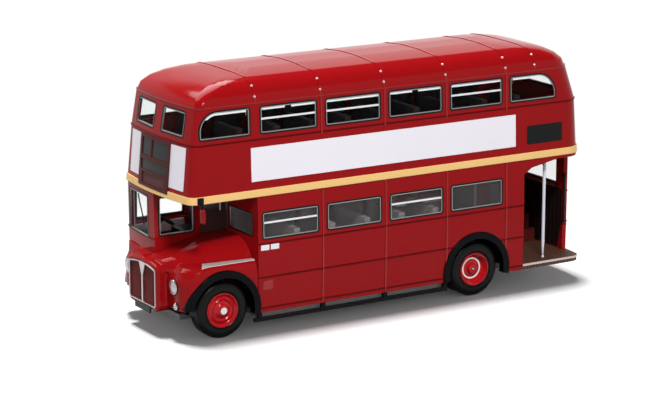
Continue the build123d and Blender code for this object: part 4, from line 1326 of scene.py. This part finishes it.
@dataclass
class WheelPair:
    """An axle's two wheels: tyres, painted hubs and bright centres."""

    name: str
    body: str
    width: float
    hub: Sequence[Span]
    tip: Span
    ring_radius: float = 0.0
    ring_depth: float = 0.0
    twin: bool = False
    twin_gap_mm: float = 0.25
    groove_places: Sequence[float] = (0.35, 0.5, 0.65)
    groove_half_mm: Span = (0.10, 0.14)
    groove_depth_mm: float = 0.16
    ring_half_mm: Span = (0.15, 0.22)
    ring_rise_mm: float = 0.2
    tyre_radius: float = field(init=False)
    rim_radius: float = field(init=False)
    centre: Vector = field(init=False)
    face_y: float = field(init=False)

    def __post_init__(self) -> None:
        """Take the wheel's sizes from the frame."""
        low, high = millimetres(f"{self.name}_tyres")
        self.tyre_radius = (high.z - low.z) / 2
        self.face_y = high.y
        self.centre = (low + high) / 2
        hub_low, hub_high = millimetres(f"{self.name}_hubs")
        self.rim_radius = (hub_high.z - hub_low.z) / 2

    def tyre_profile(self) -> list[Span]:
        """Tyre section of (distance in from the face, radius)."""
        outer, rim = self.tyre_radius, self.rim_radius
        wall = outer - rim
        face = [
            (0.42, rim - 0.05),
            (0.16, rim + 0.10),
            (0.10, rim + 0.30),
            (0.22, rim + 0.36),
            (0.06, rim + 0.46),
            (0.00, rim + 0.45 * wall),
            (0.04, rim + 0.62 * wall),
            (0.16, rim + 0.76 * wall),
            (0.36, rim + 0.89 * wall),
            (0.62, outer - 0.10),
            (0.85, outer),
        ]
        single = self.width if not self.twin else self.width / 2 - self.twin_gap_mm
        floor_half, lip_half = self.groove_half_mm
        floor = outer - self.groove_depth_mm
        grooves = []
        for share in self.groove_places:
            middle = share * single
            grooves += [
                (middle - lip_half, outer),
                (middle - floor_half, floor),
                (middle + floor_half, floor),
                (middle + lip_half, outer),
            ]
        back = [(single - depth, radius) for depth, radius in reversed(face)]
        return face + grooves + back

    def pair(self, profile: Sequence[Span], shift: float = 0.0) -> Form:
        """Two turned forms, one facing out on each side of the bus."""
        turned = Form.turned([(-depth - shift, radius) for depth, radius in profile])
        both = Form()
        for side, turn in ((1, math.pi / 2), (-1, -math.pi / 2)):
            place = Vector((self.centre.x, side * self.face_y, self.centre.z)) * MM
            both.join(turned.twin(Matrix.Translation(place) @ Matrix.Rotation(turn, 4, "Z")))
        turned.bm.free()
        return both

    def build(self) -> None:
        """Make the pair's tyres, hubs, rings and axle tips."""
        tyres = self.pair(self.tyre_profile())
        if self.twin:
            tyres.join(self.pair(self.tyre_profile(), self.width / 2 + self.twin_gap_mm))
        for name, finish, slot, form, smooth in (
            ("tyre", TYRE, "tyre", tyres, 50.0),
            ("hub", HUB_RED, "red_plastic", self.pair(self.hub), 40.0),
        ):
            node = f"{self.name}_{name}s"
            Piece(f"{self.name}_{name}_pair", finish, slot, self.body, (node,), smooth).make(form)
        tip_depth, tip_radius = self.tip
        dome = [
            (tip_depth + 0.6, tip_radius),
            (tip_depth + 0.25, tip_radius),
            (tip_depth + 0.08, tip_radius * 0.8),
            (tip_depth, tip_radius * 0.45),
            (tip_depth - 0.02, 0.0),
        ]
        Piece(f"{self.name}_axle_tips", STEEL, "steel", self.body).make(self.pair(dome))
        if self.ring_radius:
            top_half, foot_half = self.ring_half_mm
            foot = self.ring_depth + self.ring_rise_mm
            ring = [
                (foot, self.ring_radius - foot_half),
                (self.ring_depth, self.ring_radius - top_half),
                (self.ring_depth, self.ring_radius + top_half),
                (foot, self.ring_radius + foot_half),
            ]
            Piece(f"{self.name}_hub_rings", BRIGHT_RAIL, "silver", self.body).make(self.pair(ring))


@dataclass
class ArchEdges:
    """Black moulded edge round each wheel arch, and the closed inner ends of the rear wheel wells."""

    edge_radii: Span = (7.55, 9.25)
    edge_depth: Span = (-1.6, 0.3)
    back_radii: Span = (1.5, 8.5)
    back_depth: Span = (-0.2, 0.2)
    back_y: float = 8.05
    front_degrees: Span = (6.0, 192.0)
    rear_degrees: Span = (-12.0, 192.0)
    corner_x: float = 49.2
    corner_y: float = 11.84
    corner_mm: float = 4.2
    back_degrees: Span = (0.0, 180.0)
    round_mm: float = 0.14
    steps: int = 60

    def side_line(self, x: float, wall: float) -> float:
        """How far out the side stands at a place along the bus, round the front corner too."""
        past = min(max(0.0, x - self.corner_x), self.corner_mm)
        return wall if past == 0.0 else self.corner_y + math.sqrt(self.corner_mm**2 - past**2)

    def arc(self, centre: Sequence[float], wall: float, sweep: Span, radii: Span, depth: Span) -> Form:
        """Flat ring round an axle, from one angle to another.

        Args:
            centre: Axle's place along the bus and its height.
            wall: Wall's place across the bus.
            sweep: Where it starts and ends, in degrees up from the front.
            radii: Its inner and outer radius.
            depth: How far it reaches in from the wall, as a minus, and out from it.

        Returns:
            The ring, on the nearside.
        """
        form = Form.plate(radii[1] - radii[0], depth[1] - depth[0], [self.round_mm] * 4)
        middle = (sum(radii) / 2 * MM, sum(depth) / 2 * MM, 0)
        form.carry(Matrix.Rotation(-math.radians(sweep[0]), 4, "Y") @ Matrix.Translation(middle))
        bmesh.ops.spin(
            form.bm,
            geom=form.everything(),
            cent=(0, 0, 0),
            axis=(0, -1, 0),
            angle=math.radians(sweep[1] - sweep[0]),
            steps=self.steps,
        )
        form.carry(Matrix.Translation(Vector((centre[0], 0, centre[1])) * MM))
        for vert in form.bm.verts:
            vert.co.y += self.side_line(vert.co.x / MM, wall) * MM
        return form.close()

    def build(self) -> None:
        """Make the edges of the four arches and the two well backs."""
        edges = Form()
        backs = Form()
        wall = millimetres("lower_deck_casting")[1].y
        for joint in frame["joints"]:
            x, _, z = (value / MM for value in joint["pos_m"])
            sweep = self.front_degrees if x > 0 else self.rear_degrees
            edges.join(self.arc((x, z), wall, sweep, self.edge_radii, self.edge_depth))
            if x < 0:
                back = self.arc((x, z), self.back_y, self.back_degrees, self.back_radii, self.back_depth)
                backs.join(back)
        for name, finish, form in (
            ("black_arch_edges", ARCH_BLACK, edges),
            ("rear_well_backs", WELL_BLACK, backs),
        ):
            form.join(form.twin(Matrix.Diagonal((1, -1, 1, 1))))
            Piece(name, finish, "black_plastic").make(form.close())


@dataclass
class FrontEnd:
    """Grille slats, lamps, blank plate, tread plate, wiper, mirrors and the cab's small panels."""

    slats: int = 26
    slat_mm: float = 0.3
    slat_margin_mm: float = 0.3
    slat_arch: float = 0.09
    backing_mm: float = 0.19
    slat_root_mm: float = 0.1
    slat_edge_mm: float = 0.08
    plate_half: float = 3.7
    plate_z: Span = (4.75, 6.35)
    plate_x: Span = (-0.25, 0.12)
    plate_edge_mm: float = 0.1
    lamp_rim_mm: float = 0.26
    tread_corners: Sequence[Span] = ((48.6, 15.1), (47.3, 12.7), (35.3, 14.0), (35.3, 15.1))
    tread_mm: float = 0.12
    tread_cuts: int = 6
    wiper_mm: float = 0.15
    wiper_lift_mm: float = 0.35
    wiper_runs: Sequence[Point] = (
        (0.35, -6.5, 29.9),
        (0.2, -6.2, 28.0),
        (0.05, -5.6, 26.2),
        (0.0, -5.0, 24.6),
        (0.0, -4.5, 23.0),
    )
    lining: Sequence[Block] = (
        ((49.75, 50.9), (-14.95, -14.5), (20.4, 30.3)),
        ((37.0, 50.9), (-14.95, -14.6), (17.9, 20.5)),
    )
    quarter_pane: Sequence[Block] = (
        ((34.8, 41.0), (0.0, 0.24), (19.6, 30.2)),
        ((34.7, 34.98), (0.2, 2.1), (19.6, 30.2)),
    )
    # Bright strip at the pane's front edge: a painted highlight, standing for a pale slit of light.
    quarter_edge: Sequence[Block] = (((35.6, 36.0), (0.2, 0.34), (25.2, 29.8)),)
    mirror_reach_mm: float = 1.5
    head_thick_mm: float = 0.9
    head_tall_mm: float = 3.3
    head_gap_mm: float = 0.15
    head_edge_mm: float = 0.35
    clamp_x: Span = (-0.1, 0.3)
    clamp_wide_mm: float = 0.45
    clamp_tall_mm: float = 1.6
    clamp_edge_mm: float = 0.15
    stalk_x: float = 0.5
    stalk_y: Span = (0.3, 0.7)
    stalk_z: Span = (-0.6, 2.9)
    stalk_mm: float = 0.24

    def build(self) -> None:
        """Make the front end's pieces."""
        self.grille()
        self.lamps("headlamps", "headlamp")
        self.lamps("fog_lamp", "fog_lamp")
        self.plate()
        self.tread()
        self.wiper()
        self.mirrors()
        self.cab_panels()

    def grille(self) -> None:
        """Backing and fine upright slats of the grille."""
        low, high = millimetres("grille")
        form = Form.of_node("grille").slice(0, (low.x - PAST_MM, low.x + self.backing_mm))
        size = high - low
        pitch = (size.y - 2 * self.slat_margin_mm) / self.slats
        for index in range(self.slats):
            y = low.y + self.slat_margin_mm + (index + 0.5) * pitch
            arch = high.z - size.z * self.slat_arch * (2 * y / size.y) ** 2
            half = self.slat_mm / 2
            upright = ((low.x + self.slat_root_mm, high.x), (y - half, y + half), (low.z, arch))
            form.join(Form.box(*upright, self.slat_edge_mm, 1))
        Piece("grille_slats", DULL_RED, "red_paint", stands_for=("grille",)).make(form)

    def lamps(self, node: str, name: str) -> None:
        """Bright rim and fluted glass of each lamp in a node."""
        rims, lenses = Form(), Form()
        for low, high in solid_boxes(node):
            radius = (high.z - low.z) / 2
            centre = Matrix.Translation(Vector((0, (low.y + high.y) / 2, (low.z + high.z) / 2)) * MM)
            seat, front = low.x, high.x
            inner = radius - self.lamp_rim_mm
            rim = [
                (seat, radius),
                (front - 0.62, radius + 0.02),
                (front - 0.45, radius + 0.06),
                (front - 0.33, radius - 0.04),
                (front - 0.33, inner),
                (front - 0.6, inner - 0.06),
            ]
            lens = [
                (front - 0.5, inner),
                (front - 0.36, inner * 0.97),
                (front - 0.2, inner * 0.8),
                (front - 0.07, inner * 0.5),
                (front - 0.01, inner * 0.22),
                (front, 0.0),
            ]
            rims.join(Form.turned(rim, 48).carry(centre))
            lenses.join(Form.turned(lens, 48).carry(centre))
        Piece(f"{name}_rims", LAMP_RIM, "silver", stands_for=(node,)).make(rims)
        Piece(f"{name}_glass", LENS, "lamp", stands_for=(node,)).make(lenses)

    def plate(self) -> None:
        """Blank number plate under the grille."""
        nose = millimetres("front_cowl")[1].x
        x = (nose + self.plate_x[0], nose + self.plate_x[1])
        form = Form.box(x, (-self.plate_half, self.plate_half), self.plate_z, self.plate_edge_mm)
        Piece("blank_number_plate", PLATE_BLACK, "blind").make(form)

    def tread(self) -> None:
        """Ribbed tread plate on the nearside wing."""
        form = Form()
        corners = [form.bm.verts.new((x * MM, y * MM, 0)) for x, y in self.tread_corners]
        form.bm.faces.new(corners)
        form.divide(self.tread_cuts)
        form.face_out().lay_on(Form.of_node("front_cowl").tree(), Side.TOP, 0.0)
        Piece("wing_tread_plate", TREAD_PLATE, "silver").make(form.rise(Side.TOP, self.tread_mm))

    def wiper(self) -> None:
        """Windscreen wiper on the cab's front glass."""
        glass = millimetres("cab_glazing")[1].x + self.wiper_lift_mm
        points = [(glass + out, y, z) for out, y, z in self.wiper_runs]
        form = Form()
        for start, end in zip(points, points[1:]):
            form.join(Form.rod(start, end, self.wiper_mm))
        Piece("windscreen_wiper", BLACK, "black_plastic").make(form)

    def cab_panels(self) -> None:
        """Pale lining inside the cab's offside wall, and an opaque dark pane on its nearside wall: its
        brown-grey is painted shade and reflection, standing for a window with an unlit cab behind it, and
        its bright edge strip is a painted highlight of light at the window's edge.
        """
        for name, finish, slot, blocks, soften in (
            ("cab_lining", CAB_GREY, "interior", self.lining, 0.1),
            ("cab_quarter_pane", CAB_PANE_SHADE, "clear", self.quarter_pane, 0.08),
            ("cab_quarter_edge", BRIGHT_RAIL, "silver", self.quarter_edge, 0.05),
        ):
            Piece(name, finish, slot).make(Form.boxes(blocks, soften))

    def mirrors(self) -> None:
        """Mirror heads with painted backs, on black brackets."""
        low, high = millimetres("mirrors")
        brackets, heads = Form(), Form()
        for side in (-1, 1):
            inner, outer = side * (high.y - self.mirror_reach_mm), side * high.y
            thick = (low.x, low.x + self.head_thick_mm)
            wide = (inner + side * self.head_gap_mm, outer)
            heads.join(Form.box(thick, wide, (low.z, low.z + self.head_tall_mm), self.head_edge_mm, 3))
            along = (low.x + self.clamp_x[0], high.x + self.clamp_x[1])
            across = (inner, inner + side * self.clamp_wide_mm)
            brackets.join(Form.box(along, across, (high.z - self.clamp_tall_mm, high.z), self.clamp_edge_mm))
            x = low.x + self.stalk_x
            top = (x, inner + side * self.stalk_y[0], high.z + self.stalk_z[0])
            foot = (x, inner + side * self.stalk_y[1], low.z + self.stalk_z[1])
            brackets.join(Form.rod(top, foot, self.stalk_mm))
        Piece("mirror_brackets", BLACK, "black_plastic", stands_for=("mirrors",)).make(brackets)
        Piece("mirror_heads", RED, "red_paint", stands_for=("mirrors",)).make(heads)


@dataclass
class Entrance:
    """The open rear platform: pale edge, pole, handle and dark lining."""

    edge_mm: float = 0.5
    edge_proud_mm: float = 0.15
    open_y: float = 9.0
    upright_lean: float = 0.3
    lining: Sequence[Block] = (
        ((-54.6, -54.0), (-10.0, 8.7), (6.1, 20.8)),
        ((-50.5, -44.0), (-15.0, -14.4), (6.1, 20.8)),
    )
    lining_edge_mm: float = 0.1
    taper_mm: float = 4.2
    foot_share: float = 0.4
    lap_mm: float = 0.05
    stay_ends: Sequence[Point] = ((0.0, 0.0, -3.4), (1.9, -0.4, -0.1))
    stay_mm: float = 0.13
    collar_mm: float = 0.4
    pole_collar: float = 0.9
    handle_collar: float = 1.6

    def build(self) -> None:
        """Make the platform's edge, pole, handle and lining."""
        self.edge()
        self.rails()
        Piece("platform_lining", LINING, "interior").make(Form.boxes(self.lining, self.lining_edge_mm))

    def edge(self) -> None:
        """Pale strip round the open corner of the platform."""
        top = millimetres("rear_platform")[1].z

        def open_corner(face: bmesh.types.BMFace) -> bool:
            """Whether a face is on the platform's open edge."""
            centre = face.calc_center_median() / MM
            upright = abs(face.normal.z) < self.upright_lean
            return upright and Beading.outside(face) and centre.y > self.open_y

        form = Form.of_node("rear_platform").slice(2, (top - self.edge_mm, top + PAST_MM))
        form.keep_faces(open_corner)
        Piece("platform_edge", PALE_EDGE, "cream_paint").make(form.proud(self.edge_proud_mm))

    def rails(self) -> None:
        """White pole with its collars, and the dark handle on the rear wall's end."""
        poles, handles = Form(), Form()
        for (low, high), made in zip(solid_boxes("grab_rails"), (poles, handles)):
            x, y = (low.x + high.x) / 2, (low.y + high.y) / 2
            radius = (high.x - low.x) / 2
            foot = low.z + (self.taper_mm if made is poles else 0.0)
            made.join(Form.rod((x, y, foot), (x, y, high.z), radius))
            if made is poles:
                lapped = (x, y, foot + self.lap_mm)
                made.join(Form.rod((x, y, low.z), lapped, radius * self.foot_share, radius))
                start, end = ((x + out, y + across, high.z + up) for out, across, up in self.stay_ends)
                handles.join(Form.rod(start, end, self.stay_mm))
            collar = radius * (self.pole_collar if made is poles else self.handle_collar)
            for z in (low.z, high.z - self.collar_mm):
                made.join(Form.rod((x, y, z), (x, y, z + self.collar_mm), collar))
        Piece("platform_pole", POLE_WHITE, "cream_paint", stands_for=("grab_rails",)).make(poles)
        Piece("rear_wall_handle", BLACK, "black_plastic", stands_for=("grab_rails",)).make(handles)


@dataclass
class Studio:
    """Floor, light and camera."""

    target: Point = (8.58, 0.0, 23.76)
    distance_mm: float = 578.7
    azimuth: float = 31.17
    elevation: float = 13.56
    focal_px: float = 2498.2
    image_px: float = 645.0
    sensor_mm: float = 36.0
    clip_m: Span = (0.01, 20.0)
    floor_mm: float = 6000.0
    floor_corner_mm: float = 1.0
    floor_stretch: Point = (1, 1.25, 1)
    floor_colour: Colour = (0.93, 0.93, 0.93)
    floor_bounce: Colour = (0.16, 0.16, 0.16)
    floor_haze: float = 0.015
    floor_fade_m: Span = (0.085, 0.16)
    ceiling_height: Span = (0.40, 0.55)
    ceiling_colour: Colour = (0.05, 0.05, 0.05)
    wall_colour: Colour = (1.0, 1.0, 1.0)
    floor: bpy.types.Object | None = None

    def build(self) -> None:
        """Set the studio up."""
        self.lay_floor()
        self.sky()
        self.lamp("overhead_panel", (30, -330, 520), (0, 0, 50), (600, 400), 5.4)
        self.lamp("key_window", (140, 396, 457), (8, 0, 25), (110, 62), 2.9)
        self.lamp("floor_wash", (0, -220, 1800), (0, 0, 0), (300, 300), 42.0, True)
        self.camera()

    def lay_floor(self) -> None:
        """Pale floor that keeps the shadow near the bus and turns plain white further off."""
        mesh = bpy.data.meshes.new("floor")
        form = Form.plate(self.floor_mm, self.floor_mm, [self.floor_corner_mm] * 4)
        form.bm.to_mesh(mesh)
        form.bm.free()
        self.floor = bpy.data.objects.new("floor", mesh)
        bpy.context.scene.collection.objects.link(self.floor)
        material = bpy.data.materials.new("pale_floor")
        material.use_nodes = True
        shader = Shader(material.node_tree)
        path = shader.node("ShaderNodeLightPath").outputs
        camera, glossy, through = (
            Value(shader, path[f"Is {kind} Ray"]) for kind in ("Camera", "Glossy", "Transmission")
        )
        seen = camera.larger(glossy).larger(through)
        inputs = {"Vector": shader.place(), "Scale": self.floor_stretch}
        stretched = shader.node("ShaderNodeMapping", None, inputs).outputs[0]
        away = shader.value("ShaderNodeVectorMath", "Value", {"operation": "LENGTH"}, {0: stretched})
        plain = shader.principled(
            Base_Color=shader.mixed(seen, self.floor_bounce, self.floor_colour),
            Roughness=1.0,
            Specular_IOR_Level=0.0,
        )
        white = shader.node("ShaderNodeEmission", None, {"Strength": 1.0}).outputs[0]
        share = seen * (self.floor_haze + (1.0 - self.floor_haze) * away.stepped(*self.floor_fade_m))
        shader.blend(share, plain, white)
        mesh.materials.append(material)

    def sky(self) -> None:
        """White walls round the studio under a dark ceiling."""
        world = bpy.data.worlds.new("studio")
        world.use_nodes = True
        bpy.context.scene.world = world
        shader = Shader(world.node_tree)
        heading = shader.node("ShaderNodeTexCoord").outputs["Generated"]
        height = shader.value("ShaderNodeSeparateXYZ", "Z", None, {0: heading})
        share = height.stepped(*self.ceiling_height)
        walls = shader.mixed(share, self.wall_colour, self.ceiling_colour)
        background = shader.node("ShaderNodeBackground", None, {"Color": walls, "Strength": 1.0})
        shader.node("ShaderNodeOutputWorld", None, {0: background.outputs[0]})

    def lamp(
        self, name: str, place: Point, aim: Point, size: Span, watts: float, floor_only: bool = False
    ) -> None:
        """Rectangular lamp that looks at a point, and lights either the bus or the floor, not both.

        Args:
            name: Name of the lamp.
            place: Where it hangs.
            aim: What it looks at.
            size: Its width and height.
            watts: Its power.
            floor_only: Whether it lights the floor alone.
        """
        data = bpy.data.lights.new(name, "AREA")
        data.shape = "RECTANGLE"
        data.size, data.size_y = size[0] * MM, size[1] * MM
        data.energy = watts
        lamp = bpy.data.objects.new(name, data)
        lamp.location = Vector(place) * MM
        lamp.rotation_mode = "QUATERNION"
        lamp.rotation_quaternion = (Vector(aim) - Vector(place)).to_track_quat("-Z", "Y")
        bpy.context.scene.collection.objects.link(lamp)
        lit = bpy.data.collections.new(f"{name}_lit")
        lit.objects.link(self.floor)
        lit.collection_objects[0].light_linking.link_state = "INCLUDE" if floor_only else "EXCLUDE"
        lamp.light_linking.receiver_collection = lit

    def camera(self) -> None:
        """Camera at the photograph's viewing angle."""
        data = bpy.data.cameras.new("camera")
        data.sensor_fit = "HORIZONTAL"
        data.sensor_width = self.sensor_mm
        data.lens = self.focal_px / self.image_px * self.sensor_mm
        data.clip_start, data.clip_end = self.clip_m
        turn, lift = math.radians(self.azimuth), math.radians(self.elevation)
        back = Vector((math.sin(turn) * math.cos(lift), math.cos(turn) * math.cos(lift), math.sin(lift)))
        camera = bpy.data.objects.new("camera", data)
        camera.location = (Vector(self.target) + back * self.distance_mm) * MM
        camera.rotation_mode = "QUATERNION"
        camera.rotation_quaternion = (-back).to_track_quat("-Z", "Y")
        bpy.context.scene.collection.objects.link(camera)
        bpy.context.scene.camera = camera


def main() -> None:
    """Build the classes in order, and note the sizes."""
    logging.basicConfig(level=logging.INFO, format="%(message)s")
    bpy.context.scene.view_settings.view_transform = "Standard"
    parts = [
        Castings(),
        WindowTrim(),
        Beading(),
        SignPanels(),
        WheelPair("front", "front_wheelset", width=4.2, hub=FRONT_HUB, tip=(-0.35, 0.62)),
        WheelPair(
            "rear",
            "rear_wheelset",
            width=6.8,
            hub=REAR_HUB,
            tip=(0.55, 0.34),
            ring_radius=2.37,
            ring_depth=1.5,
            twin=True,
        ),
        ArchEdges(),
        FrontEnd(),
        Entrance(),
        Studio(),
    ]
    for part in parts:
        part.build()


if __name__ == "__main__":
    main()
